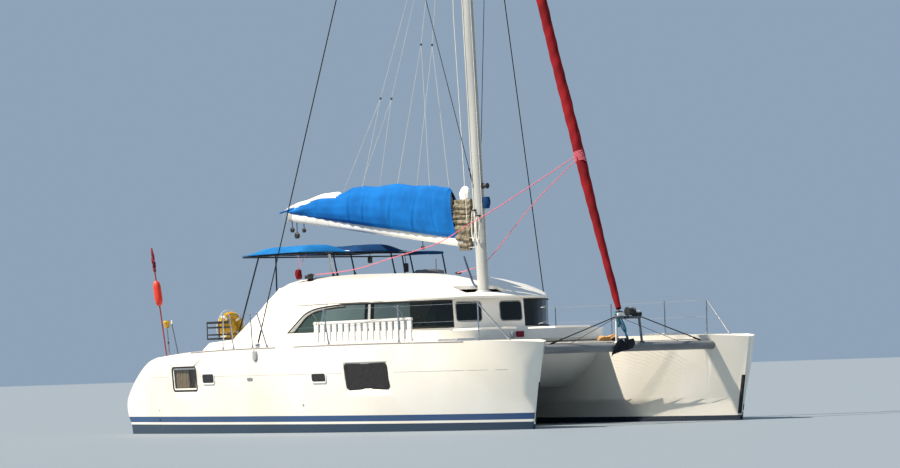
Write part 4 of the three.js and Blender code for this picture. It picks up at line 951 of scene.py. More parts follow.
# %% [markdown]
# ## Mast
#
# The mast is an aluminium extrusion: an oval tube with a groove up its aft side for the sail's slides. One
# pair of swept spreaders pushes the diamond wires out, and a crane at the top carries the halyard sheaves.
# The oval is lofted from rings here, with a notch in each for the groove, so the groove runs the whole
# height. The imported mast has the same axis, rake and size.

# %% Mast
MAST_FOOT, MAST_TOP, RAKE = 2.3003, 16.6, 0.04
MAST_LONG, MAST_WIDE = 0.120, 0.084  # half the oval, along the boat and across her
HOUNDS = 15.28
MAST_SIZES = [(MAST_FOOT, 1.0), (6.0, 1.0), (HOUNDS, 1.0), (16.0, 0.84), (MAST_TOP, 0.7)]
SPREADER_Z, SPREADER_BACK, SPREADER_OUT = 10.4, 0.65, 1.16
PIVOT_X, PIVOT_Z = 1.06, 3.17  # the line that the boom swings about, and the height of its pin
FOOT_PLATE = [(0.0, 0.0), (0.15, 0.0), (0.15, 0.012), (0.13, 0.016), (0.12, 0.03), (0.0, 0.03)]


def mast_x(z):
    return 1.37 - (z - 2.3) * RAKE


def mast_ring(z, size, steps=41):
    """An oval, with a notch at the aft point for the sail groove."""
    ring = []
    for i, angle in enumerate(circle(steps)):
        notch = 0.020 * size if i == 0 else 0.0
        ring.append((mast_x(z) - MAST_LONG * size * math.cos(angle) + notch, -MAST_WIDE * size * math.sin(angle), z))
    return ring


def spreader_tip(sign):
    return Vector((mast_x(SPREADER_Z) - SPREADER_BACK, SPREADER_OUT * sign, SPREADER_Z + 0.06))


def spreader(bm, sign):
    root, tip = Vector((mast_x(SPREADER_Z) - 0.05, 0.04 * sign, SPREADER_Z)), spreader_tip(sign)
    rings = []
    for t in (0.0, 0.05, 0.95, 1.0):
        half = 0.042 - 0.018 * t
        rings.append([root.lerp(tip, t) + half * Vector((math.cos(a), 0, 0.35 * math.sin(a))) for a in circle(16)])
    bridged(bm, rings)


piece("mast_tube", mast_metal, (bridged, [mast_ring(z, size) for z, size in MAST_SIZES]), replaces=["mast"])
crane = ((mast_x(MAST_TOP) - 0.19, -0.03, MAST_TOP - 0.06), (mast_x(MAST_TOP) + 0.15, 0.03, MAST_TOP))
lugs = [(box, (1.025, -0.035, PIVOT_Z + rise), (mast_x(PIVOT_Z), 0.035, PIVOT_Z + rise + 0.015), 0.003)
        for rise in (0.075, -0.09)]
piece("mast_fittings", mast_metal, *[(spreader, sign) for sign in SIDES.values()],
      (turned, FOOT_PLATE, (mast_x(MAST_FOOT), 0, MAST_FOOT), UP, 32), (box, *crane, 0.008), *lugs)
print("mast", round(MAST_TOP - MAST_FOOT, 2), "m tall, spreaders", 2 * SPREADER_OUT, "m across")

# %% [markdown]
# ## Wires of the standing rigging
#
# Cap shrouds of thick steel wire hold the mast from the sides and slightly from behind. Thinner diamond
# wires run over the spreader tips and stiffen its middle.
# They are straight, because they are tight, so plain tubes along two or three points are right. Each ends
# in a swaged terminal and a rigging screw, which are turned shapes along the wire.

# %% Standing rigging
CHAINPLATE = (-0.89, 3.19, 1.51)
DIAMOND_FOOT, DIAMOND_HEAD = 4.15, HOUNDS - 0.1
DECK_EDGE = 1.4703  # the top of the deck where the shrouds and the ladder stand
SCREW = [(0.0, 0.0), (0.6, 0.0), (0.6, 0.12), (1.0, 0.16), (1.0, 0.62), (0.55, 0.66), (0.55, 0.8), (0.8, 0.82),
         (0.8, 0.97), (0.0, 1.0)]


def scaled(profile, radius, length):
    return [(r * radius, h * length) for r, h in profile]


def rigging_screw(bm, low, high, length, radius):
    """A rigging screw at the low end of a wire, in line with it."""
    turned(bm, scaled(SCREW, radius, length), low, (Vector(high) - Vector(low)).normalized(), 14)


for side, sign in SIDES.items():
    foot = Vector((CHAINPLATE[0], CHAINPLATE[1] * sign, CHAINPLATE[2]))
    head = Vector((mast_x(HOUNDS), 0.06 * sign, HOUNDS))
    piece(f"cap_shroud_{side}", galvanised, (tubes, [[foot, head]], 0.0095, 8),
          (rigging_screw, foot, head, 0.42, 0.015), replaces=[f"shroud_{side}"])
    plates = [(box, (foot.x - 0.06, foot.y - wide, DECK_EDGE), (foot.x + 0.06, foot.y + wide, top), bevel)
              for wide, top, bevel in [(0.012, 1.535, 0.004), (0.025, 1.478, 0.003)]]
    piece(f"chainplate_{side}", stainless, *plates)
    low = Vector((mast_x(DIAMOND_FOOT) - 0.02, 0.075 * sign, DIAMOND_FOOT))
    high = Vector((mast_x(DIAMOND_HEAD), 0.06 * sign, DIAMOND_HEAD))
    piece(f"diamond_wire_{side}", galvanised, (tubes, [[low, spreader_tip(sign), high]], 0.006, 8),
          (rigging_screw, low, spreader_tip(sign), 0.32, 0.014),
          (box, low - Vector((0.02, 0.012, 0.05)), low + Vector((0.02, 0.012, 0.02)), 0.003))
print("cap shroud", round((head - foot).length, 2), "m long")

# %% [markdown]
# ## Running rigging
#
# Halyards come down the mast under tension, so they are straight tubes. Their tails are coiled on cleats,
# gathered in a bag, or led off at the mast's foot.

# %% Halyards and their tails
HALYARDS = [(0.132, 0.03, 3.0, 15.2), (0.132, -0.03, 3.2, 16.3), (-0.02, -0.096, 3.4, 16.3), (-0.07, 0.090, 2.9, 15.9)]
LIFT_LINE = [(1.10, -0.10, 3.5), (0.98, -0.16, 7.1), (0.83, -0.05, 12.0)]
COILS = [((1.30, -0.115, 3.72), 0.52, 0.085), ((1.40, -0.100, 3.62), 0.44, 0.075)]
BASE_TAILS = [(0.875, -0.02, 2.93), (0.95, -0.03, 2.80), (1.03, -0.02, 2.62), (1.12, -0.02, 2.46), (1.24, -0.03, 2.40)]
MAST_WINCH = [(0.0, 0.0), (0.052, 0.0), (0.052, 0.03), (0.036, 0.05), (0.036, 0.10), (0.050, 0.115), (0.050, 0.13),
              (0.0, 0.13)]


def coil(bm, centre, height, width, turns=6, rope=0.007):
    """A halyard's tail, made up in a long coil that hangs from a cleat."""
    path = []
    for i in range(16 * turns + 1):
        angle = 2 * math.pi * i / 16
        swell = 1 + 0.10 * math.sin(1.7 * i)
        path.append(Vector(centre) + Vector((width / 2 * math.sin(angle) * swell, 0.014 * math.sin(0.41 * i),
                                             -height / 2 * (1 - math.cos(angle) * swell))))
    tubes(bm, [smooth_path(path, 2)], rope)


def base_tail(i):
    off = Vector((0, 0.014 * math.cos(1.3 * i), 0.014 * math.sin(1.3 * i)))
    return smooth_path([Vector(p) + off for p in BASE_TAILS], 5)


def bag_point(t, a):
    swell = 0.35 + 0.65 * math.sin(math.pi * (0.12 + 0.76 * t)) ** 0.6
    return (mast_x(3.84) + 0.205 + 0.085 * swell * math.cos(a) * (1 + 0.08 * math.sin(5 * a + 6 * t)),
            0.02 + 0.055 * swell * math.sin(a), 3.74 + 0.20 * t)


lines = [[(mast_x(low) + out, y, low), (mast_x(high) + out * 0.85, y * 0.8, high)] for out, y, low, high in HALYARDS]
piece("halyards", white_rope, *[(tubes, [line], 0.006) for line in lines], (tubes, [LIFT_LINE], 0.007))
piece("halyard_coils", white_rope, *[(coil, *sizes) for sizes in COILS])
piece("mast_foot_tails", dark_rope, *[(tubes, [base_tail(i)], 0.009) for i in range(5)])
piece("mast_cleats", black_plastic,
      *[(box, (x - 0.05, y - 0.012, z - 0.012), (x + 0.05, -0.06, z + 0.012), 0.005) for (x, y, z), _, _ in COILS],
      (turned, MAST_WINCH, (mast_x(4.13) + 0.10, 0.02, 4.13), (1, 0.2, 0), 18))
piece("halyard_bag", navy_and_shaded_canvas, (lofted, bag_point, 12, 24))
print("halyards:", len(HALYARDS), "coils:", len(COILS))

# %% [markdown]
# ## Lazy jacks
#
# Lazy jacks catch the sail when it drops: thin light lines that split at small blocks on their way from the
# mast to the cover. They are taut, so they are straight too.
# They swing with the boom. Their heads end inside the mast on the boom's own pivot line, so they stay
# joined to it.

# %% Lazy jacks
JACK_HEAD = Vector((PIVOT_X - 0.06, 0, 11.9))
UPPER_BLOCK, LOWER_BLOCK = (-0.05, 0.12, 6.70), (-1.32, 0.12, 5.85)
JACK_FEET = {"starboard": [(0.08, 4.20, 1), (-0.87, 4.30, 1), (-1.94, 4.30, 0), (-2.53, 4.27, 0)],
             "port": [(0.31, 4.12, 1), (-0.66, 4.23, 1), (-1.78, 4.30, 0), (-2.40, 4.27, 0)]}
SHEAVE = [(0.0, -0.55), (0.7, -0.55), (1.0, -0.35), (0.75, 0.0), (1.0, 0.35), (0.7, 0.55), (0.0, 0.55)]


def turning_block(bm, centre, size):
    """A small pulley block: a rounded cheek pair with a sheave between."""
    turned(bm, scaled(SHEAVE, size, size), centre, ACROSS, 12)


for side, sign in SIDES.items():
    upper, lower = (Vector((x, y * sign, z)) for x, y, z in (UPPER_BLOCK, LOWER_BLOCK))
    lines = [[JACK_HEAD, upper], [JACK_HEAD - Vector((0, 0, 1.4)), lower]]
    lines += [[upper if on_upper else lower, Vector((x, 0.13 * sign, z))] for x, z, on_upper in JACK_FEET[side]]
    piece(f"lazy_jacks_{side}", white_rope, (tubes, lines, 0.0035), body="gooseneck")
    piece(f"jack_blocks_{side}", black_plastic, (turning_block, upper, 0.022), (turning_block, lower, 0.022),
          body="gooseneck")
print("lazy jacks:", sum(len(feet) for feet in JACK_FEET.values()), "legs")

# %% [markdown]
# ## Boom
#
# The boom is a white enamelled tube, flatter at the sides, with cast ends. The aft casting takes the
# reefing lines, and the mainsheet's blocks hang from a bail near it.
# It is lofted along its own slope, which rises towards the stern. Everything on it rides on the boom, so it
# lifts and swings with it.

# %% Boom and its fittings
BOOM = {"aft": -4.47, "fore": 0.93, "slope": 0.1322, "high": 0.092, "wide": 0.065}
CASTING = [(0.0, -0.03), (0.02, 0.0), (0.10, 0.003), (0.16, 0.003), (0.16, -0.002)]  # from the end, and out
FORE_CASTING = [(0.0, -0.03), (0.02, 0.0), (0.09, 0.003), (0.15, 0.003), (0.15, -0.002)]
BLOCKS = [(-4.40, 0.20, 0.050), (-4.25, 0.30, 0.060), (-4.02, 0.17, 0.045), (-0.35, 0.16, 0.040)]  # x, drop, size
FORK = {"y": 0.027, "thick": 0.007, "high": 0.028, "end": 1.009}


def boom_z(x):
    return PIVOT_Z + (PIVOT_X - x) * BOOM["slope"]


def boom_ring(x, grow=0.0, power=0.85, steps=36):
    ring = []
    for angle in circle(steps):
        c, s = math.cos(angle), math.sin(angle)
        y = (BOOM["wide"] + grow) * math.copysign(abs(c) ** power, c)
        ring.append((x, y, boom_z(x) + (BOOM["high"] + grow) * math.copysign(abs(s) ** power, s)))
    return ring


def boom_end(bm, end, way, section):
    bridged(bm, [boom_ring(BOOM[end] + way * along, grow) for along, grow in section])


def fork_cheek(bm, side_y):
    box(bm, (BOOM["fore"] - 0.05, side_y - FORK["thick"], PIVOT_Z - FORK["high"]),
        (FORK["end"], side_y + FORK["thick"], PIVOT_Z + FORK["high"]), 0.004)


piece("boom_tube", boom_paint, (bridged, [boom_ring(BOOM["aft"] + 0.10), boom_ring(BOOM["fore"] - 0.09)]),
      body="boom", replaces=["boom"])
piece("boom_castings", grey_plastic, (boom_end, "aft", 1, CASTING), (boom_end, "fore", -1, FORE_CASTING),
      (fork_cheek, -FORK["y"]), (fork_cheek, FORK["y"]), body="boom")
paint("gooseneck", stainless)
straps = []
for x, drop, size in BLOCKS:
    top = Vector((x, 0, boom_z(x) - 0.088))
    straps.append(([top, top - Vector((0, 0, drop - size))], size))
piece("mainsheet_blocks", black_plastic, *[(turning_block, strap[1], size) for strap, size in straps], body="boom")
piece("block_straps", dark_rope, (tubes, [strap for strap, _ in straps], 0.009), body="boom")
print("boom", round(BOOM["fore"] - BOOM["aft"], 2), "m long")

# %% [markdown]
# ## The sail cover
#
# With the sail lowered and flaked on the boom, a cover of blue canvas is drawn over the heap and tied down
# along the boom. The heap is fullest a little aft of the mast and thins towards the aft end.
# A cloth simulation would need the heap and all of its lashings. The cover hangs on few points, though, and
# its creases are easy to read: upright ones between the lazy jacks, and a fan of long ones from the aft
# tie.
# So the sheet is lofted over the heap's sections, and each crease is a ridge with a hollow beside it, moved
# out along the surface.

# %% Cover sections and creases
COVER = [(0.80, 4.07, 0.09), (0.42, 4.165, 0.150), (-0.08, 4.23, 0.175), (-0.53, 4.25, 0.178), (-1.07, 4.32, 0.180),
         (-1.68, 4.30, 0.178), (-2.11, 4.335, 0.170), (-2.42, 4.325, 0.158), (-2.74, 4.245, 0.145),
         (-3.31, 4.235, 0.125), (-4.00, 4.135, 0.095), (-4.79, 4.00, 0.030)]  # x, height of the ridge, half width
COVER_SIDE = [(0.50, 0.00), (0.80, 0.08), (1.00, 0.26), (1.00, 0.50), (0.78, 0.76), (0.42, 0.94), (0.0, 1.0)]
CREASES = [(0.16, -0.18, 0.030, 0.014), (-0.37, 0.14, 0.034, 0.016), (-1.07, 0.10, 0.036, 0.016),
           (-1.90, 0.05, 0.034, 0.016), (-2.38, -0.05, 0.040, 0.020)]  # x, lean, width, depth
FAN = {"x": -4.7, "z": 3.98, "reach": 2.4, "waves": 9, "depth": 0.020}
COVER_ENDS = (0.74, -4.78)
COLUMNS, ROWS = 260, 64
FRONT_LEAN, FRONT_RINGS, FRONT_Z = 0.26, 12, 3.35  # the front edge slopes back as it rises
OPEN_AFT = -2.78  # aft of this the cover's ridge is open, and the sail stands out of it
TIES = [0.45 - 0.36 * i for i in range(15)]


def between(table, x):
    """Smoothly reads the columns of a table of sections, whose first column falls from row to row."""
    for (xa, *a), (xb, *b) in zip(table, table[1:]):
        if xa >= x >= xb:
            t = (xa - x) / (xa - xb)
            t = t * t * (3 - 2 * t) * 0.5 + t * 0.5
            return [p + (q - p) * t for p, q in zip(a, b)]
    return table[-1][1:]


def crease_depth(x, up, side):
    """How far the cloth stands out at a place: x, share of height, and which side."""
    out = 0.0
    for centre, lean, width, depth in CREASES:
        off = (x - centre - lean * (up - 0.5) - 0.04 * side) / width
        out += depth * math.exp(-off * off) - 0.8 * depth * math.exp(-(off - 1.6) ** 2)
    out *= min(1.0, 4.0 * up + 0.15) * (1.0 - 0.6 * up ** 3)
    height = boom_z(x) + up * 0.7
    angle = math.atan2(height - FAN["z"], x - FAN["x"])
    fade = max(0.0, 1.0 - (x - FAN["x"]) / FAN["reach"]) * min(1.0, (x - FAN["x"]) / 0.5)
    out += FAN["depth"] * fade * math.sin(FAN["waves"] * angle + 0.8 * side)
    return out + 0.006 * math.sin(23 * x + 3 * up) * (1 - up)


def cover_point(x, turn, lift=0.0, creased=True):
    """A point of the cover; turn goes from 0, the starboard hem, over the ridge at 0.5, to 1, the port hem."""
    top, half = between(COVER, x)
    side = -1 if turn < 0.5 else 1
    rank = (1 - abs(2 * turn - 1)) * (len(COVER_SIDE) - 1)
    low = min(int(rank), len(COVER_SIDE) - 2)
    across, up = (a + (b - a) * (rank - low) for a, b in zip(COVER_SIDE[low], COVER_SIDE[low + 1]))
    base = min(boom_z(x) + 0.045 + 0.10 * max(0.0, -4.2 - x), top - 0.03)
    out = crease_depth(x, up, side) if creased else 0.0
    half = max(0.012, half * across + out * (1 - up ** 4)) + lift
    return Vector((x, side * half, base + (top - base) * up + lift))


def cover_grid(columns, rows, creased=True):
    x0, x1 = COVER_ENDS
    return [[cover_point(x0 + (x1 - x0) * i / columns, j / rows, creased=creased) for j in range(rows + 1)]
            for i in range(columns + 1)]


def smooth_verts(bm, factor):
    bmesh.ops.smooth_vert(bm, verts=bm.verts[:], factor=factor, use_axis_x=True, use_axis_y=True, use_axis_z=True)


def draped_area(columns=60, rows=24):
    """The cloth's flat area, from the same sections without their creases."""
    at = cover_grid(columns, rows, creased=False)
    return sum(((at[i + 1][j] - at[i][j]).cross(at[i][j + 1] - at[i][j])).length
               for i in range(columns) for j in range(rows))


def is_opening(face):
    """Whether a face of the cover lies where its ridge is left open."""
    middle = face.calc_center_median()
    if middle.x >= OPEN_AFT or middle.z <= boom_z(middle.x) + 0.25:
        return False
    return abs(middle.y) < 0.13 * between(COVER, middle.x)[1] + 0.004


def tie_paths(x):
    """A tie from the starboard hem, under the boom, to the port hem."""
    under = [Vector((x, 0.068 * math.sin(a), boom_z(x) - 0.094 * math.cos(a)))
             for a in (math.pi * (k / 8 - 0.5) for k in range(9))]
    sides = [Vector((x, y, boom_z(x) + 0.01)) for y in (-0.069, 0.069)]
    return [[cover_point(x, 0.0, 0.004), sides[0]], under, [sides[1], cover_point(x, 1.0, 0.004)]]


rings = cover_grid(COLUMNS, ROWS)
for index, ring in enumerate(rings[:FRONT_RINGS]):
    for point in ring:
        point.x -= FRONT_LEAN * (point.z - FRONT_Z) * (1 - index / FRONT_RINGS)
bm = bmesh.new()
bridged(bm, rings, closed=False)
smooth_verts(bm, 0.3)
bmesh.ops.delete(bm, geom=[face for face in bm.faces if is_opening(face)], context="FACES")
cover = settle("sail_cover_cloth", bm, blue_canvas, body="boom", replaces=["sail_cover"], angle=math.radians(80))
cover.modifiers.new("cloth", "SOLIDIFY").thickness = 0.002
cover_area = draped_area()
piece("cover_ties", white_rope, *[(tubes, tie_paths(x), 0.003) for x in TIES], body="boom")
print("cover cloth", round(cover_area, 2), "square metres")

# %% [markdown]
# ## The sail under its cover
#
# White folds of the sail swell out above the cover at the aft end, a strip of sail shows under the near
# hem, and weathered khaki folds stand open at the mast, painted darker as shade.
# The heap is one closed form, a little smaller than the cover and with flat pleats along it. Only what the
# cover leaves open is seen.

# %% The stowed sail
HEAP_ENDS = (0.46, -4.72)
LUFF = {"x": (0.70, 1.11), "z": (3.04, 3.93), "pleats": 8}
HEAD = {"x": (0.80, 1.04), "z": (3.86, 4.14), "half": 0.045}


def within(low, high, t):
    return low + (high - low) * t


def heap_point(t, angle):
    """A point of the sail's heap: a stack of pleats, which stands higher where the cover is open."""
    x = within(*HEAP_ENDS, t)
    top, half = between(COVER, x)
    aft = max(0.0, min(1.0, (OPEN_AFT - x) / 0.06)) * max(0.0, min(1.0, (x + 4.80) / 0.3))
    top += 0.075 * aft - 0.045
    base = boom_z(x) + 0.075
    up = 0.5 - 0.5 * math.cos(angle)
    width = half * 0.70 * abs(math.sin(angle)) ** 0.7
    pleat = 0.008 * math.sin(2 * math.pi * 9 * up + 1.5 * math.sin(2.2 * x)) * min(1.0, width / 0.05)
    return (x, math.copysign(width + pleat, math.sin(angle)), base + (top - base) * up)


def luff_point(t, angle):
    """A point of the weathered folds at the mast, whose dark tone is partly painted shade."""
    up = 0.5 - 0.5 * math.cos(angle)
    pleat = 0.024 * math.sin(2 * math.pi * (LUFF["pleats"] * up + 0.35 * math.sin(9 * up)) + 2.0 * t)
    width = 0.085 * abs(math.sin(angle)) ** 0.5 + pleat * abs(math.sin(angle)) ** 0.4
    pull_in = (1 - up) ** 2 * (0.10 * (1 - t) - 0.05 * t)
    x = within(*LUFF["x"], t) + pull_in - 0.03 * up * (1 - t) + 0.012 * math.sin(17 * up)
    return (x, math.copysign(width * (1 - 0.45 * t ** 2), math.sin(angle)), within(*LUFF["z"], up))


def head_point(t, angle):
    """A point of the sail's head, a white corner above the folds."""
    swell = math.sin(math.pi * (0.10 + 0.8 * t)) ** 0.5
    middle, tall = sum(HEAD["z"]) / 2 + 0.03 * t, (HEAD["z"][1] - HEAD["z"][0]) / 2
    half = HEAD["half"] * swell * (1 + 0.2 * math.sin(4 * angle + 9 * t))
    return (within(*HEAD["x"], t), half * math.sin(angle), middle + tall * swell * math.cos(angle))


stowed = piece("stowed_sail", sailcloth, (lofted, heap_point, 90, 72), (smooth_verts, 0.4), body="boom")
luff = piece("sail_folds_at_mast", weathered_and_shaded_sailcloth, (lofted, luff_point, 10, 80), body="boom")
head_corner = piece("sail_head_corner", sailcloth, (lofted, head_point, 8, 28), body="boom")
print("sail heap", len(stowed.data.polygons), "faces, folds at the mast", len(luff.data.polygons))

# %% [markdown]
# ## The furled headsail
#
# A long red sleeve of canvas is zipped round the rolled sail. It sags a little with the stay, is fullest
# low down where the sail's clew is rolled in, and its seam winds slowly round it.
# It is one tube of cloth along the stay. Its radius follows a table and gets wrinkles that run round it at
# a slant, like those of a twisted sleeve.

# %% Headsail sleeve and stay
STAY = {"foot": Vector((5.038, 0, 1.873)), "head": Vector((0.98, 0, 15.15)), "sag": 0.16}
SLEEVE = [(0.950, 0.034), (0.85, 0.058), (0.6, 0.074), (0.35, 0.086), (0.2, 0.091), (0.12, 0.074), (0.06, 0.060),
          (0.02, 0.056), (0.0, 0.044)]  # share of the stay, radius
SLEEVE_ENDS = (0.950, 0.002)
SLEEVE_RINGS = 520


def stay_point(t):
    drop = STAY["sag"] * math.sin(math.pi * t)
    return STAY["foot"].lerp(STAY["head"], t) - Vector((drop, 0, 0.3 * drop))


def sleeve_ring(t, steps=36):
    radius = between(SLEEVE, t)[0]
    tangent = (stay_point(t + 0.003) - stay_point(t - 0.003)).normalized()
    side = Vector(ACROSS)
    out = side.cross(tangent).normalized()
    ring = []
    for i in range(steps + 1):
        angle = (2 * math.pi - 0.03) * i / steps
        twist = angle - 26 * t
        wrinkle = 0.030 * math.sin(3 * angle + 160 * t) + 0.025 * math.sin(2 * angle - 310 * t)
        r = radius * (1 + 0.045 * math.sin(twist) + wrinkle) + 0.006 * max(0.0, math.cos(twist)) ** 24
        ring.append(stay_point(t) + side * (r * math.sin(angle)) + out * (r * math.cos(angle)))
    return ring


rings = [sleeve_ring(within(*SLEEVE_ENDS, i / SLEEVE_RINGS)) for i in range(SLEEVE_RINGS + 1)]
sleeve = piece("headsail_sleeve", red_canvas, (bridged, rings, False), replaces=["furled_genoa"], angle=math.radians(60))
sleeve.modifiers.new("cloth", "SOLIDIFY").thickness = 0.0015
stay_path = [*(stay_point(i / 12 * 0.955) for i in range(13)), (mast_x(HOUNDS) + 0.06, 0, HOUNDS)]
piece("forestay", galvanised, (tubes, [stay_path], 0.009, 8))

# %% [markdown]
# ## Headsail sheets
#
# Two pink-red sheets leave the rolled clew. They were led aft to blocks on the roof, and hang in a shallow
# curve. A few turns of them are wrapped round the sleeve.

# %% Sheets and their turns
CLEW = stay_point(0.197)
SHEET, WRAP_TURNS = 0.0075, 8
STARBOARD_SHEET = [CLEW - Vector((0.08, 0.05, 0)), (2.63, -0.55, 3.72), (2.09, -0.72, 3.48), (1.45, -0.92, 3.18),
                   (0.98, -1.06, 3.06), (0.30, -1.22, 2.93), (-0.37, -1.36, 2.80), (-0.92, -1.46, 2.75),
                   (-1.45, -1.56, 2.73)]
PORT_SHEET = [CLEW - Vector((0.08, -0.05, 0)), (3.45, 0.14, 4.20), (2.26, 0.38, 3.71), (0.47, 0.80, 2.89),
              (-0.60, 1.20, 2.76), (-1.45, 1.56, 2.73)]
wraps = []
for i in range(12 * WRAP_TURNS + 1):
    angle = 2 * math.pi * i / 12
    wraps.append(stay_point(0.19 + 0.0016 * i / 12)
                 + 0.092 * Vector((math.cos(angle), math.sin(angle), 0.30 * math.cos(angle))))
piece("headsail_sheets", red_rope, (tubes, [wraps], 0.008), (tubes, [smooth_path(STARBOARD_SHEET, 6)], SHEET))
piece("port_headsail_sheet", red_rope, (tubes, [smooth_path(PORT_SHEET, 6)], SHEET))
print("sheets leave the sleeve", round(CLEW.z, 2), "m above the water")

# %% [markdown]
# ## Awnings
#
# Two blue awnings shade the cockpit, each a sheet laced between tube bows, with a white rope piping at the
# inner hem of one; the centre one is painted navy as shade. Canvas under tension is arched across and droops at its
# ends.
# Each is one curved sheet. Its ends lie straight along the bows, and the cloth rises from there to an arch
# across the boat. A faint sag between the bows keeps it from looking like a panel.
# Its underside is painted near black as painted shade, a lining which the modifier that gives the cloth its
# thickness takes from the second material.

# %% Awnings
AWNING = {"aft": -3.40, "front": -1.60, "edge": 3.14, "crown": 3.275, "rise_aft": 0.45, "rise_front": 0.23}
# The centre awning is the same blue cloth as the starboard one, given navy as painted shade.
PANELS = {"starboard": (-1.80, -0.68, sky_canvas), "centre": (-0.56, 0.56, navy_and_shaded_canvas)}
AWNING_GRID, ENDS, FLANKS = (72, 40), 24, 40
SEAMS = (0.33, 0.66)


def awning_point(y0, y1, u, v, lift=0.0):
    """u runs from the aft to the front end, v from y0 to y1."""
    x = within(AWNING["aft"], AWNING["front"], u)
    share = min(1.0, (x - AWNING["aft"]) / AWNING["rise_aft"], (AWNING["front"] - x) / AWNING["rise_front"])
    arch = (1 - abs(2 * v - 1) ** 3.0) * math.sin(share * math.pi / 2)
    sag = 0.010 * math.sin(math.pi * 3 * u) ** 2 * arch * (1 - arch)
    ripple = 0.003 * math.sin(38 * u + 5 * v) * arch * (1 - arch)
    z = within(AWNING["edge"], AWNING["crown"], arch) - sag + ripple
    return Vector((x, within(y0, y1, v), z + lift))


for name, (y0, y1, top_cloth) in PANELS.items():
    columns, rows = AWNING_GRID
    rings = [[awning_point(y0, y1, i / columns, j / rows) for j in range(rows + 1)] for i in range(columns + 1)]
    bm = bmesh.new()
    bridged(bm, rings, closed=False)
    if sum(face.normal.z for face in bm.faces) < 0:
        bmesh.ops.reverse_faces(bm, faces=bm.faces[:])
    panel = settle(f"awning_{name}", bm, [top_cloth, painted_shade_lining], replaces=[f"bimini_{name}"], angle=math.radians(80))
    cloth = panel.modifiers.new("cloth", "SOLIDIFY")
    cloth.thickness, cloth.material_offset = 0.002, 1
    edge = [(i / FLANKS, 0) for i in range(FLANKS + 1)] + [(1, j / ENDS) for j in range(1, ENDS + 1)]
    edge += [(1 - i / FLANKS, 1) for i in range(1, FLANKS + 1)] + [(0, 1 - j / ENDS) for j in range(1, ENDS + 1)]
    hem = [awning_point(y0, y1, u, v) for u, v in edge]
    seams = [[awning_point(y0, y1, u, j / ENDS, 0.001) for j in range(ENDS + 1)] for u in SEAMS]
    piece(f"awning_hem_{name}", top_cloth, (tubes, [hem], 0.007), *[(tubes, [seam], 0.002, 4) for seam in seams])
y0, y1, _ = PANELS["starboard"]
piping = [awning_point(y0, y1, 0.45 + 0.55 * i / 30, 0.985, 0.008) for i in range(31)]
piece("awning_piping", white_rope, (tubes, [piping], 0.010))
print("awnings:", list(PANELS))

# %% [markdown]
# ## Crossbeam, striker and furling drum
#
# The forward crossbeam is a big aluminium tube between the bows. The forestay pulls it up in the middle, so
# a low portal stands on it as a striker, with wires that run from its ends down to the beam.
# The furling drum sits on a plate behind it, and a black spool and a sheave lie on top. All of these are
# turned shapes and tubes. A teal rope lashes the stay's foot, and the anchor lies over its roller.

# %% Crossbeam and striker
BEAM_X, BEAM_Z, BEAM_END = 5.20, 1.27, 2.0
BEAM = [(0.0, -BEAM_END), (0.060, -BEAM_END), (0.075, 0.01 - BEAM_END), (0.075, BEAM_END - 0.01), (0.060, BEAM_END),
        (0.0, BEAM_END)]
STRIKER_TOP, STRIKER_ENDS = 1.757, (-0.215, 0.310)
STRIKER_LEGS = [(-0.205, -0.195), (0.335, 0.285)]  # y at the foot and at the head
DRUM_X = 5.03
ROLLER = Vector((5.30, -0.12, 1.3657))
LEG_FOOT = [(0.0, 0.0), (0.045, 0.0), (0.045, 0.012), (0.028, 0.03), (0.0, 0.03)]
SPOOLS = [(0.035, 0.140, 1.848, 0.076), (0.215, 0.110, 1.806, 0.036)]  # y, width, height, radius
SPOOL = [(0.0, 0.0), (1.0, 0.0), (1.0, 0.10), (0.82, 0.16), (0.78, 0.5), (0.82, 0.84), (1.0, 0.90), (1.0, 1.0),
         (0.0, 1.0)]
ROLLER_SHAPE = [(0.0, -0.016), (0.018, -0.016), (0.015, 0.0), (0.018, 0.016), (0.0, 0.016)]
DRUM = [(0.0, 0.0), (0.040, 0.0), (0.040, 0.012), (0.076, 0.017), (0.078, 0.022), (0.076, 0.027), (0.050, 0.033),
        (0.050, 0.061), (0.076, 0.067), (0.078, 0.072), (0.076, 0.077), (0.038, 0.086), (0.034, 0.0945), (0.0, 0.0945)]
TAIL_TOP, TAIL_FOOT = Vector((BEAM_X + 0.02, -0.13, 1.735)), Vector((BEAM_X + 0.03, 0.035, BEAM_Z + 0.075))


def leg(low_y, high_y):
    return [(tubes, [[(BEAM_X, low_y, BEAM_Z + 0.05), (BEAM_X, high_y, STRIKER_TOP)]], 0.021, 12),
            (turned, LEG_FOOT, (BEAM_X, low_y, BEAM_Z + 0.066), UP, 16)]


def drum_wrap(i):
    reach = 0.068 + 0.006 * math.sin(i)
    return (DRUM_X + reach * math.cos(i / 3), reach * math.sin(i / 3), STRIKER_TOP + 0.048 + 0.0003 * i)


def lashing_point(i):
    angle = 2 * math.pi * i / 12
    z = 1.60 + 0.13 * i / 72 + 0.008 * math.sin(i)
    return (BEAM_X - 0.01 + 0.045 * math.cos(angle), -0.17 + 0.035 * math.sin(angle), z)


def lashing_tail(i):
    off = Vector((0.012 * math.sin(2.1 * i), 0.030 * math.cos(0.9 * i), 0))
    swing = Vector((0.02 * math.sin(1.3 * i), 0.012 * math.cos(2.7 * i), 0))
    upper, lower = TAIL_TOP.lerp(TAIL_FOOT, 0.4) + off + swing, TAIL_TOP.lerp(TAIL_FOOT, 0.75) - swing
    return smooth_path([TAIL_TOP + off, upper, lower, TAIL_FOOT + 0.4 * off], 5)


piece("crossbeam_tube", beam_metal, (turned, BEAM, (BEAM_X, 0, BEAM_Z), ACROSS, 40), replaces=["crossbeam"])
piece("striker_leg", boom_paint, *leg(*STRIKER_LEGS[0]), slot="stainless")
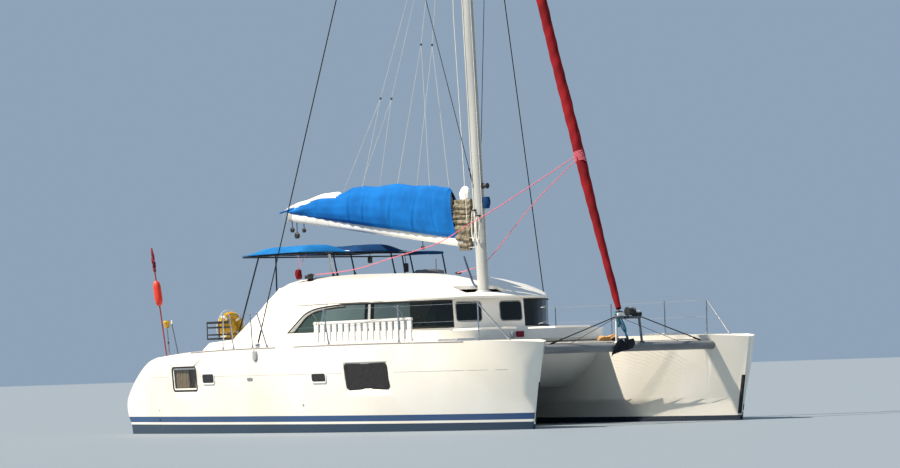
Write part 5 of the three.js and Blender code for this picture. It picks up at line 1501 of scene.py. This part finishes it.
# The port leg is the same white tube as the starboard one; its dark grey is painted shade.
piece("striker", grey_enamel_and_shade, *leg(*STRIKER_LEGS[1]),
      (box, (DRUM_X - 0.045, -0.06, STRIKER_TOP - 0.025), (BEAM_X + 0.030, 0.06, STRIKER_TOP + 0.02), 0.006),
      (box, (BEAM_X - 0.030, STRIKER_ENDS[0], STRIKER_TOP - 0.025),
       (BEAM_X + 0.030, STRIKER_ENDS[1], STRIKER_TOP + 0.02), 0.008))
piece("roller_cheeks", stainless, *[(box, (BEAM_X, ROLLER.y + y - 0.004, BEAM_Z),
                                     (BEAM_X + 0.13, ROLLER.y + y + 0.004, 1.42), 0.002) for y in (-0.020, 0.020)])
piece("striker_spools", black_plastic, *[(turned, scaled(SPOOL, radius, wide), (BEAM_X, y, z), ACROSS, 28)
                                         for y, wide, z, radius in SPOOLS])
piece("striker_fittings", white_plastic,
      (box, (BEAM_X - 0.02, -0.17, STRIKER_TOP + 0.02), (BEAM_X + 0.02, -0.05, STRIKER_TOP + 0.075), 0.012),
      (box, (BEAM_X - 0.02, 0.19, STRIKER_TOP + 0.075), (BEAM_X + 0.02, 0.31, STRIKER_TOP + 0.105), 0.010))
wires = []
for sign, end_y in zip(SIDES.values(), STRIKER_ENDS):
    low, high = Vector((BEAM_X, 1.62 * sign, BEAM_Z + 0.07)), Vector((BEAM_X, end_y, STRIKER_TOP + 0.01))
    stay_wire = [(BEAM_X - 0.04, 1.17 * sign, BEAM_Z + 0.065), (DRUM_X - 0.02, 0.05 * sign, STRIKER_TOP)]
    wires += [(tubes, [[low, high]], 0.009, 8), (rigging_screw, low, high, 0.30, 0.015), (tubes, [stay_wire], 0.004)]
piece("striker_wires", galvanised, *wires)
piece("bow_roller", rubber, (turned, ROLLER_SHAPE, ROLLER, ACROSS, 16))
piece("furler_drum_turned", black_plastic, (turned, DRUM, (DRUM_X, 0, STRIKER_TOP + 0.0203), UP, 40),
      replaces=["furler_drum"])
piece("striker_lashing", teal_rope, (tubes, [[drum_wrap(i) for i in range(150)]], 0.006),
      (tubes, [smooth_path([lashing_point(i) for i in range(72)], 2)], 0.008),
      *[(tubes, [lashing_tail(i)], 0.008) for i in range(7)])
print("crossbeam", 2 * BEAM_END, "m long, striker bar at", STRIKER_TOP, "m")

# %% [markdown]
# ## Anchor, windlass and the bundle on the beam
#
# A galvanised plough anchor, gone nearly black, lies over the roller, and its chain runs back along the
# centre beam to a hawse hole in the foredeck's front. A tan canvas bundle is lashed on the beam beside it.
# The anchor keeps its solid's shape, with its edges softened. The windlass is turned, and the chain is made
# of small links set in turn, flat and upright.

# %% Ground tackle
WINDLASS = [(0.0, 0.0), (0.110, 0.0), (0.110, 0.014), (0.104, 0.018), (0.056, 0.025), (0.054, 0.038), (0.056, 0.050),
            (0.078, 0.056), (0.080, 0.062), (0.074, 0.066), (0.0, 0.066)]
CHAIN_PATH = [(2.965, 0.0, 1.430), (3.06, 0.0, 1.412), (4.70, -0.06, 1.412), (4.93, -0.12, 1.405)]
LINK, LINK_STEP, LINK_WIRE = 0.040, 0.72, 0.0045  # length, share of it to the next link, and wire's radius
BUNDLE = {"from": Vector((4.95, 0.02, 1.445)), "to": Vector((4.93, -0.37, 1.410)), "radius": 0.050}
LASHED_AT = (0.3, 0.68)


def chain(bm, path):
    """A chain along a path of points: each link is a small oval, every other one on edge."""
    path = [Vector(p) for p in path]
    lengths = [0.0]
    for a, b in zip(path, path[1:]):
        lengths.append(lengths[-1] + (b - a).length)
    for index in range(int(lengths[-1] / (LINK * LINK_STEP))):
        at = index * LINK * LINK_STEP + LINK / 2
        step = max(i for i, length in enumerate(lengths[:-1]) if length <= at)
        along = (path[step + 1] - path[step]).normalized()
        centre = path[step] + along * (at - lengths[step])
        side = along.cross(Vector((0.02, 0.03, 1))).normalized()
        flat = side if index % 2 else along.cross(side)
        oval = [centre + along * (LINK / 2 * math.cos(a)) + flat * (LINK * 0.33 * math.sin(a))
                for a in (2 * math.pi * k / 10 for k in range(11))]
        tubes(bm, [oval], LINK_WIRE, 4, caps=False)


def bundle_point(t, angle):
    swell = BUNDLE["radius"] * (0.35 + 0.75 * math.sin(math.pi * (0.06 + 0.88 * t)) ** 0.5)
    r = swell * (1 + 0.13 * math.sin(5 * angle + 7 * t) + 0.06 * math.sin(3 * angle - 11 * t))
    if min(abs(t - place) for place in LASHED_AT) < 0.035:
        r *= 0.82
    centre = BUNDLE["from"].lerp(BUNDLE["to"], t) + Vector((0, 0, 0.012 * math.sin(9 * t)))
    return centre + Vector((r * math.cos(angle), 0, r * 0.8 * math.sin(angle)))


softened("anchor", "plough_anchor", galvanised, 0.004)
softened("centre_beam", "longitudinal_beam", beam_metal, 0.008)
piece("windlass_turned", stainless, (turned, WINDLASS, (1.95, 0, 1.6403), UP, 36), replaces=["windlass"])
piece("anchor_chain", galvanised, (chain, CHAIN_PATH))
piece("tan_bundle", khaki_canvas, (lofted, bundle_point, 32, 28), (smooth_verts, 0.3))
print("bundle of canvas,", round((BUNDLE["to"] - BUNDLE["from"]).length, 2), "m long")

# %% [markdown]
# ## Trampolines
#
# Between the bows lie two nets of black cord, laced to the beam, the hulls and the centre beam. They carry
# people, and their shade dapples the far hull.
# A texture with holes wouldn't cast that shade properly. Real cords do, and are
# cheap: each is one straight thin strand, cut to length by rays to the solid net's edge.

# %% Nets
NET_PITCH, NET_CORD, NET_INSET, NET_Z = 0.036, 0.0014, 0.055, 1.366


def strand_end(tree, point, direction):
    hit = tree.ray_cast(point, direction)[0]
    return hit - direction * NET_INSET if hit else None


for side, sign in SIDES.items():
    tree = surface(f"trampoline_{side}")
    low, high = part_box(f"trampoline_{side}")
    middle = Vector(((low.x + high.x) / 2, (low.y + high.y) / 2, NET_Z))
    strands, ends = [], []
    for axis, other, along in ((0, 1, Vector(AHEAD)), (1, 0, Vector(ACROSS))):
        first, last = low[other] + NET_INSET, high[other] - NET_INSET
        count = int((last - first) / NET_PITCH)
        for i in range(count + 1):
            point = middle.copy()
            point[other] = within(first, last, i / count)
            far, near = strand_end(tree, point, along), strand_end(tree, point, -along)
            if far and near and (far - near).dot(along) > 0.05:
                lift = Vector((0, 0, NET_CORD * (1 if axis else -1)))
                strands.append([far + lift, near + lift])
                ends += [(far, along), (near, -along)]
    ends.sort(key=lambda end: math.atan2(end[0].y - middle.y, end[0].x - middle.x))
    border = [place for place, _ in ends]
    lacing = [place if index % 2 else place + outward * (NET_INSET - 0.006)
              for index, (place, outward) in enumerate(ends)]
    piece(f"net_{side}", net_cord, (tubes, strands, NET_CORD, 4), replaces=[f"trampoline_{side}"])
    piece(f"net_lacing_{side}", white_rope, (tubes, [lacing + lacing[:1]], 0.0032, 4, False),
          (tubes, [border + border[:1]], 0.0075, 6, False))
print("strands in a net:", len(strands))

# %% [markdown]
# ## Guard rails
#
# Stainless stanchions along each side carry two wires, with a sloping brace at the bow. They stand at other
# places to port than to starboard, where one pair frames the boarding gate.
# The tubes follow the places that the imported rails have. Each foot stands in a turned socket on the deck.

# %% Stanchions and lifelines
STANCHIONS = {"starboard": [(4.85, 2.755, 4.85, 2.765), (3.15, 3.11, 3.15, 3.12), (1.29, 3.215, 1.17, 3.225),
                            (-0.56, 3.215, -0.83, 3.225), (-1.01, 3.215, -1.04, 3.225), (-1.62, 3.20, -1.74, 3.205),
                            (-1.97, 3.19, -1.95, 3.195)],
              "port": [(3.73, 3.00, 3.71, 3.03), (2.40, 3.18, 2.38, 3.20), (0.88, 3.215, 0.87, 3.225),
                       (-0.72, 3.215, -0.74, 3.225), (-1.62, 3.20, -1.74, 3.205), (-1.97, 3.19, -1.95, 3.195)]}
BRACE_FOOT = {"starboard": (5.30, 2.44, 1.395), "port": (4.56, 2.80, 1.44)}
RAIL_TOP, RAIL_MIDDLE, DECK = 2.06, 1.77, 1.47
RAIL_TUBE, LIFELINE = 0.0115, 0.0025
SOCKET = [(0.0, 0.0), (0.030, 0.0), (0.030, 0.008), (0.018, 0.018), (0.018, 0.045), (0.0, 0.045)]
LOW_SOCKET = [*SOCKET[:4], (0.0, 0.03)]
RAIL_CAP = [(0.0, -0.012), (0.014, -0.010), (0.014, 0.006), (0.009, 0.012), (0.0, 0.012)]
WIRE_SHARE = (RAIL_MIDDLE - DECK) / (RAIL_TOP - DECK)

for side, sign in SIDES.items():
    parts, tops, middles = [], [], []
    for x, y, head_x, head_y in STANCHIONS[side]:
        foot = Vector((x, y * sign, deck_height(side, x) - 0.01))
        head = Vector((head_x, head_y * sign, RAIL_TOP))
        parts += [(tubes, [[foot, head]], RAIL_TUBE, 10), (turned, SOCKET, foot + Vector((0, 0, 0.011)), UP, 16),
                  (turned, RAIL_CAP, head, UP, 12)]
        tops.append(head - Vector((0, 0, 0.01)))
        middles.append(Vector((within(x, head_x, WIRE_SHARE), within(y, head_y, WIRE_SHARE) * sign, RAIL_MIDDLE)))
    x, y, z = BRACE_FOOT[side]
    parts += [(tubes, [[tops[0], (x, y * sign, z)]], RAIL_TUBE, 10),
              (turned, LOW_SOCKET, (x, y * sign, z - 0.003), UP, 16)]
    piece(f"stanchions_{side}", stainless, *parts, replaces=[f"rail_{side}"])
    piece(f"lifelines_{side}", stainless, (tubes, [tops, middles], LIFELINE))
print("stanchions:", {side: len(posts) for side, posts in STANCHIONS.items()})

# %% [markdown]
# ## Boarding ladder
#
# An aluminium ladder with flat treads stands on edge along the starboard rail, where it is lashed until it
# is wanted. Seen from the side it looks like a white picket fence.
# Each tread and each stringer is a box with softened edges, and all are one mesh.

# %% Boarding ladder
LADDER = {"x": (0.58, 3.39), "y": -3.015, "z": (DECK_EDGE, 1.862), "treads": 16, "tread": 0.118, "rail": 0.045}
(x0, x1), y, (z0, z1) = LADDER["x"], LADDER["y"], LADDER["z"]
pitch = (x1 - x0 - 0.02 - LADDER["tread"]) / (LADDER["treads"] - 1)
starts = [x0 + 0.01 + i * pitch for i in range(LADDER["treads"])]


def lashing(bm, x):
    """A few turns round the ladder's upper rail, and a line to the lifeline."""
    turns = [(x + 0.01 * i - 0.1, y - 0.026 * math.cos(2 * math.pi * i / 8),
              z1 - 0.022 + 0.030 * math.sin(2 * math.pi * i / 8)) for i in range(25)]
    tubes(bm, [turns], 0.005)
    tubes(bm, [smooth_path([(x, y - 0.02, z1), (x + 0.02, y - 0.08, 1.96), (x, -3.20, 2.05)], 5)], 0.005)


piece("boarding_ladder", boom_paint,
      *[(box, (x0, y - 0.022, low), (x1, y + 0.022, low + LADDER["rail"]), 0.008) for low in (z0, z1 - LADDER["rail"])],
      *[(box, (x, y - 0.014, z0 + 0.02), (x + LADDER["tread"], y + 0.014, z1 - 0.02), 0.005) for x in starts],
      replaces=["gangway"])
piece("ladder_lashings", grey_rope, (lashing, x0 + 0.12), (lashing, x1 - 0.22))
print("ladder treads:", LADDER["treads"])

# %% [markdown]
# ## Person-overboard gear
#
# On the starboard quarter stand a tall marker pole with an orange float and a rolled dark-red flag, a
# yellow lifebuoy with a grab line, and a black slatted crate.
# The float and the buoy are turned shapes; the flag is a rolled strip of nylon. The crate is built of bars
# with softened edges, like the moulded one.

# %% Marker pole and lifebuoy
POLE_FOOT, POLE_HEAD = Vector((-4.32, -2.86, 1.33)), Vector((-4.66, -2.91, 3.35))
FLOAT = [(0.0, 0.0), (0.030, 0.004), (0.052, 0.03), (0.066, 0.08), (0.070, 0.14), (0.070, 0.32), (0.066, 0.38),
         (0.052, 0.43), (0.030, 0.456), (0.0, 0.46)]
BUOY = {"centre": Vector((-3.45, -2.05, 1.886)), "ring": 0.203, "tube": 0.060}
LINE_BAG = [(-0.046, 0.05), (-0.042, 0.10), (-0.022, 0.135), (0.022, 0.135), (0.042, 0.10), (0.046, 0.05)]
BAND_HALF = 0.10  # half a band's angle


def pole_at(z):
    return POLE_FOOT.lerp(POLE_HEAD, (z - POLE_FOOT.z) / (POLE_HEAD.z - POLE_FOOT.z))


def flag_point(t, angle):
    radius = 0.030 * (0.55 + 0.6 * math.sin(math.pi * (0.12 + 0.8 * t))) * (1 - 0.3 * t)
    r = radius * (1 + 0.22 * math.sin(3 * angle + 16 * t) + 0.10 * math.sin(5 * angle - 23 * t))
    return pole_at(2.92 + 0.42 * t) + Vector((r * math.cos(angle), r * math.sin(angle), 0))


def buoy_point(angle, around, grow=0.0):
    tube = BUOY["tube"] + grow
    reach = BUOY["ring"] + tube * math.cos(around)
    return BUOY["centre"] + Vector((tube * math.sin(around), reach * math.cos(angle), reach * math.sin(angle)))


def band(bm, middle):
    lofted(bm, lambda t, a: buoy_point(middle + BAND_HALF * (2 * t - 1), a, 0.0025), 6, 28, caps=False)


def buoy_ring(bm):
    lofted(bm, lambda t, a: buoy_point(2 * math.pi * t, a, 0.0015 * math.sin(9 * a + 40 * 72 * t)), 72, 28, caps=False)
    bmesh.ops.remove_doubles(bm, verts=bm.verts[:], dist=2e-3)


piece("marker_pole", pole_plastic, (tubes, [[POLE_FOOT, POLE_HEAD]], 0.013, 10), replaces=["danbuoy"])
pole_axis = (POLE_HEAD - POLE_FOOT).normalized()
piece("marker_float", orange_foam, (turned, FLOAT, pole_at(2.30), pole_axis, 32))
piece("rolled_flag", flag_cloth, (lofted, flag_point, 40, 24))
piece("lifebuoy_ring", yellow_cover, (buoy_ring,), replaces=["lifebuoy"])
bag_rings = [[BUOY["centre"] + Vector((depth, reach * math.cos(a), reach * math.sin(a))) for a in circle(28)]
             for depth, reach in LINE_BAG]
piece("buoy_line_bag", yellow_cover, (bridged, bag_rings))
piece("buoy_bands", white_plastic, *[(band, math.pi * (0.25 + 0.5 * quarter)) for quarter in range(4)])
grab = [buoy_point(2 * math.pi * i / 96, 0.0, 0.012 + 0.030 * abs(math.sin(2 * math.pi * i / 48 + math.pi / 4)))
        for i in range(97)]
piece("buoy_grab_line", white_rope, (tubes, [grab], 0.004, 6, False))
print("buoy", round(2 * (BUOY["ring"] + BUOY["tube"]), 2), "m across")

# %% [markdown]
# ## Crate and stern posts
#
# The crate hangs outside the rail. Two short posts stand on the quarter: one carries a yellow light for the
# horn buoy and a black ball, the other a lamp.

# %% Crate and stern posts
(x0, x1), (y0, y1), (z0, z1) = (-2.50, -2.10), (-3.180, -2.920), (1.64, 1.96)  # the crate's box
CORNER, BAR = 0.016, 0.010
CRATE_BARS = [(z0, 0.034), (z0 + 0.075, 0.026), (z0 + 0.200, 0.030), (z1 - 0.040, 0.040)]  # height, depth
FLOOR_SLATS = 9
STERN_POSTS = [((-5.12, -2.30, 1.42), (-5.19, -2.30, 2.04)), ((-4.83, -2.30, 1.42), (-5.01, -2.30, 1.98))]
HORN_LIGHT = [(0.0, 0.0), (0.050, 0.0), (0.066, 0.03), (0.046, 0.08), (0.040, 0.13), (0.0, 0.14)]
BALL = [(0.0, -0.020), (0.012, -0.018), (0.020, 0.0), (0.012, 0.018), (0.0, 0.020)]
LAMP = [(0.0, 0.0), (0.016, 0.0), (0.018, 0.03), (0.012, 0.06), (0.0, 0.065)]

parts = [(box, (x, y, z0), (x + CORNER, y + CORNER, z1), 0.004) for x in (x0, x1 - CORNER) for y in (y0, y1 - CORNER)]
for z, high in CRATE_BARS:
    parts += [(box, (x0 + 0.004, y, z), (x1 - 0.004, y + BAR, z + high), 0.003) for y in (y0, y1 - BAR)]
    parts += [(box, (x, y0 + 0.004, z), (x + BAR, y1 - 0.004, z + high), 0.003) for x in (x0, x1 - BAR)]
slats = [x0 + 0.025 + i * (x1 - x0 - 0.062) / (FLOOR_SLATS - 1) for i in range(FLOOR_SLATS)]
parts += [(box, (x, y0 + 0.006, z0), (x + 0.012, y1 - 0.006, z0 + 0.008), 0.002) for x in slats]
piece("rail_crate", black_plastic, *parts, replaces=["basket"])
piece("stern_posts", stainless, *[(tubes, [post], 0.011, 10) for post in STERN_POSTS],
      *[(turned, LOW_SOCKET, low, UP, 16) for low, _ in STERN_POSTS])
piece("horn_buoy_light", yellow_cover, (turned, HORN_LIGHT, STERN_POSTS[0][1], (0.1, 0, -1), 20))
piece("post_ball", rubber, (turned, BALL, (-5.145, -2.30, 1.64), UP, 16))
piece("post_lamp", white_plastic, (turned, LAMP, STERN_POSTS[1][1], UP, 16))
print("crate", round(x1 - x0, 3), "m long")

# %% [markdown]
# ## Hatches and lids
#
# Smoked acrylic hatches in aluminium frames light the cabins. The engine hatches and the foredeck lockers
# have moulded white lids with the deck's grip on top. Each turns on a hinge, so all that is on a lid rides
# on it.
# The corners come from one outline, stacked into a frame with a soft edge. Hinge knuckles and a recessed
# latch finish it.

# %% Lids
LID_EDGE = [(0.0, 0.0), (0.0, 0.62), (0.10, 0.92), (0.28, 1.0)]  # shares of the rim's width and the lid's height
KNUCKLE = [(0.0, -0.030), (0.007, -0.030), (0.007, 0.030), (0.0, 0.030)]
LATCH = [(0.0, 0.0), (0.020, 0.0), (0.020, 0.003), (0.014, 0.004), (0.012, 0.001), (0.0, 0.001)]


def stacked(bm, rings):
    """A closed form over rings that have the same number of points, joined point to point."""
    loops = [[bm.verts.new(point) for point in ring] for ring in rings]
    for low, high in zip(loops, loops[1:]):
        for i in range(len(low)):
            bm.faces.new((low[i - 1], low[i], high[i], high[i - 1]))
    bm.faces.new(loops[0])
    bm.faces.new(loops[-1])
    bmesh.ops.recalc_face_normals(bm, faces=bm.faces[:])


def lid(solid, hinge, glazed):
    """Dresses a hinged lid; hinge is 1 for hinges at its forward edge and -1 for its aft edge."""
    low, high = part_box(solid)
    rim = 0.045 if glazed else 0.03
    top, height = high.z, high.z - low.z

    def ring(inset, z):
        outline = rounded(low.x + inset, high.x - inset, low.y + inset, high.y - inset, max(0.05 - inset, 0.008), 6)
        return [(x, y, z) for x, y in outline]

    edge = [ring(inset * rim, low.z + rise * height) for inset, rise in LID_EDGE]
    edge += [ring(rim, top), ring(rim + 0.004, top - 0.004)]
    inner = [ring(rim + 0.006, top - 0.004), ring(rim + 0.006, top - 0.001), ring(rim + 0.010, top)]
    edge_x = high.x if hinge > 0 else low.x
    leaf_x = (edge_x - 0.035, edge_x) if hinge > 0 else (edge_x, edge_x + 0.035)
    latch_x = low.x + 0.05 if hinge > 0 else high.x - 0.05
    fittings = [(turned, LATCH, (latch_x, (low.y + high.y) / 2, top - 0.002), UP, 20)]
    for y in (within(low.y, high.y, 0.25), within(low.y, high.y, 0.75)):
        fittings += [(turned, KNUCKLE, (edge_x - 0.004 * hinge, y, top - 0.004), ACROSS, 12),
                     (box, (leaf_x[0], y - 0.022, top - 0.003), (leaf_x[1], y + 0.022, top + 0.0015), 0.001)]
    piece(f"{solid}_lid", anodised if glazed else gelcoat, (stacked, edge), body=solid, replaces=[solid])
    piece(f"{solid}_panel", smoked if glazed else nonskid, (stacked, inner), body=solid)
    piece(f"{solid}_hinges", stainless, *fittings, body=solid)


for side in SIDES:
    lid(f"cabin_hatch_{side}", 1, True)
    lid(f"engine_hatch_{side}", 1, False)
    lid(f"foredeck_lid_{side}", -1, False)
print("lids dressed:", 3 * len(SIDES))

# %% [markdown]
# ## Cockpit
#
# The cockpit has moulded seats, a table, and at the port bulkhead the helm: a console, a steel wheel and a
# seat. A winch stands on each side of the roof for the headsail's sheets.
# Boxes with generous soft edges are right for moulded furniture. The wheel and the winches are turned, and
# the wheel's parts ride on its own body.

# %% Furniture, wheel and winches
FURNITURE = [("cockpit_seats", "cockpit_seat_moulding", gelcoat, 0.020), ("cockpit_table", "cockpit_table_top", teak, 0.008),
             ("saloon_table", "saloon_table_top", teak, 0.008), ("helm_console", "helm_pod", gelcoat, 0.025),
             ("helm_seat", "helm_bench", gelcoat, 0.020)]
HUB, WHEEL_RADIUS, SPOKES = Vector((-2.09, 1.10, 1.76)), 0.300, 5
HUB_SHAPE = [(0.0, -0.020), (0.022, -0.020), (0.030, -0.012), (0.030, 0.014), (0.020, 0.020), (0.020, 0.105),
             (0.0, 0.105)]
WINCH = [(0.0, 0.0), (0.062, 0.0), (0.062, 0.02), (0.046, 0.035), (0.040, 0.055), (0.040, 0.085), (0.050, 0.108),
         (0.055, 0.115), (0.055, 0.124), (0.030, 0.130), (0.026, 0.138), (0.012, 0.140), (0.0, 0.140)]


def spoke(i):
    angle = 2 * math.pi * i / SPOKES + math.pi / 2
    out = Vector((0, math.cos(angle), math.sin(angle)))
    return [HUB + out * 0.02, HUB + out * 0.292]


for solid, piece_name, material, width in FURNITURE:
    softened(solid, piece_name, material, width, 3)
softened("saloon_settee", "saloon_bench", interior, 0.010)
rim = [(WHEEL_RADIUS + 0.0145 * math.cos(a), 0.0145 * math.sin(a)) for a in (2 * math.pi * i / 12 for i in range(13))]
piece("wheel", stainless, (turned, rim, HUB, AHEAD, 64), *[(tubes, [spoke(i)], 0.009, 10) for i in range(SPOKES)],
      (turned, HUB_SHAPE, HUB, AHEAD, 24), body="steering_wheel", replaces=["steering_wheel"])
for side in SIDES:
    low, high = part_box(f"winch_{side}")
    shape = scaled(WINCH, (high.x - low.x) / 2 / 0.062, (high.z - low.z) / 0.140)
    base = ((low.x + high.x) / 2, (low.y + high.y) / 2, low.z)
    piece(f"winch_{side}_drum", black_plastic, (turned, shape, base, UP, 36), replaces=[f"winch_{side}"])
print("wheel", 2 * WHEEL_RADIUS, "m across")

# %% [markdown]
# ## Awning frame
#
# The awnings are held by a frame of thin tube: a bow at each end, side tubes, raked legs aft and posts from
# the roof. One post is thicker and white, with a dark foot.
# Along the front bow lies a rolled side curtain. A deck lamp, an antenna and a bag with a rope hang from
# the same bow, and a folded cover lies on the helm's windscreen.

# %% Awning tubes and what hangs on them
BOW_Z, TUBE = 3.1107, 0.0138
FRONT_X, AFT_X = -1.64, -3.36
LEGS = [(-1.78, -2.0), (1.38, 2.0)]  # y at the head and at the foot
POSTS, POST_FOOT_X = [-1.115, -1.03, -0.65, 0.23, 0.64, 1.37], -1.53
SIDE_POST = Vector((-2.34, -1.78, BOW_Z))
POST_FOOT = [(0.0, 0.0), (0.038, 0.0), (0.038, 0.006), (0.020, 0.016), (0.020, 0.04), (0.0, 0.04)]
# The rolled curtain's navy is painted shade, as on the centre awning.
ROLLS = {"curtain_roll": ((-1.61, 0.60, 3.105), (-1.61, 1.36, 3.105), 0.032, navy_and_shaded_canvas),
         "red_bag": ((-1.66, -1.76, 2.66), (-1.67, -1.77, 2.83), 0.058, red_canvas),
         "folded_screen_cover": ((-1.60, 0.75, 2.755), (-1.60, 1.35, 2.755), 0.050, grey_cloth)}
BAG_TOP = (-1.67, -1.77, 2.83)
LAMPS = [((-1.68, -0.26, 2.93), (-1.60, -0.20, 3.04), 0.012), ((-1.52, -1.74, 2.66), (-1.40, -1.67, 2.72), 0.010),
         ((-1.63, 0.49, 2.76), (-1.57, 0.57, 2.92), 0.012)]
LAMP_STEMS = [[(FRONT_X, -0.23, 3.03), (FRONT_X, -0.23, BOW_Z)], [(-1.60, 1.20, 2.80), (-1.60, 1.20, 2.99)]]
SCREEN_STEM = [(-1.60, 0.53, 2.90), (FRONT_X, 0.53, BOW_Z)]


def below(tree, x, y):
    """The top of a skin under a place."""
    return tree.ray_cast(Vector((x, y, 4)), Vector(DOWN))[0]


def roll(bm, start, end, radius, folds=5, steps=30):
    """A rolled or bundled cloth between two points, with soft folds round it."""
    start, end = Vector(start), Vector(end)
    along = (end - start).normalized()
    side = along.cross(Vector((0.3, 0.2, 1))).normalized()
    up = side.cross(along)

    def point(t, a):
        swell = radius * math.sin(math.pi * (0.08 + 0.84 * t)) ** 0.25 * (1 + 0.10 * math.sin(folds * a + 9 * t))
        return start.lerp(end, t) + swell * (side * math.cos(a) + up * math.sin(a))

    lofted(bm, point, steps, 24)


roof, decks = surface("coachroof_skin"), surface("hull_skin_starboard")
paths = [[(x, LEGS[0][0] - 0.02, BOW_Z), (x, LEGS[1][0] + 0.02, BOW_Z)] for x in (FRONT_X, AFT_X)]
for y, foot_y in LEGS:
    paths += [[(FRONT_X, y, BOW_Z), (AFT_X, y, BOW_Z)], [(-2.88, y, BOW_Z), (-3.40, foot_y, 1.50)]]
feet = [below(roof, POST_FOOT_X + 0.003, y + 0.003) for y in POSTS]
posts = [(foot, (FRONT_X, y, BOW_Z)) for foot, y in zip(feet, POSTS)]
posts.append((below(decks, SIDE_POST.x, SIDE_POST.y), SIDE_POST))
piece("bimini_tubes", dark_tube, *[(tubes, [path], TUBE, 12) for path in paths + posts],
      *[(turned, POST_FOOT, foot, UP, 18) for foot, _ in posts], replaces=["bimini_frame"])
post_head = Vector((FRONT_X, POSTS[0], BOW_Z - 0.02))
piece("white_post_sleeve", boom_paint, (tubes, [[feet[0].lerp(post_head, 0.12), post_head]], 0.024, 12))
for name, (start, end, radius, cloth) in ROLLS.items():
    piece(name, cloth, (roll, start, end, radius))
strings = [[BAG_TOP, (FRONT_X, -1.60, BOW_Z)], [BAG_TOP, (FRONT_X, -1.77, BOW_Z)]]
piece("bag_strings", red_rope, (tubes, strings, 0.004))
piece("deck_lamps", black_plastic, *[(box, *lamp) for lamp in LAMPS], (tubes, LAMP_STEMS, 0.006, 8),
      (tubes, [SCREEN_STEM], 0.006, 8))
print("posts:", len(POSTS), "on the roof and one on the deck")
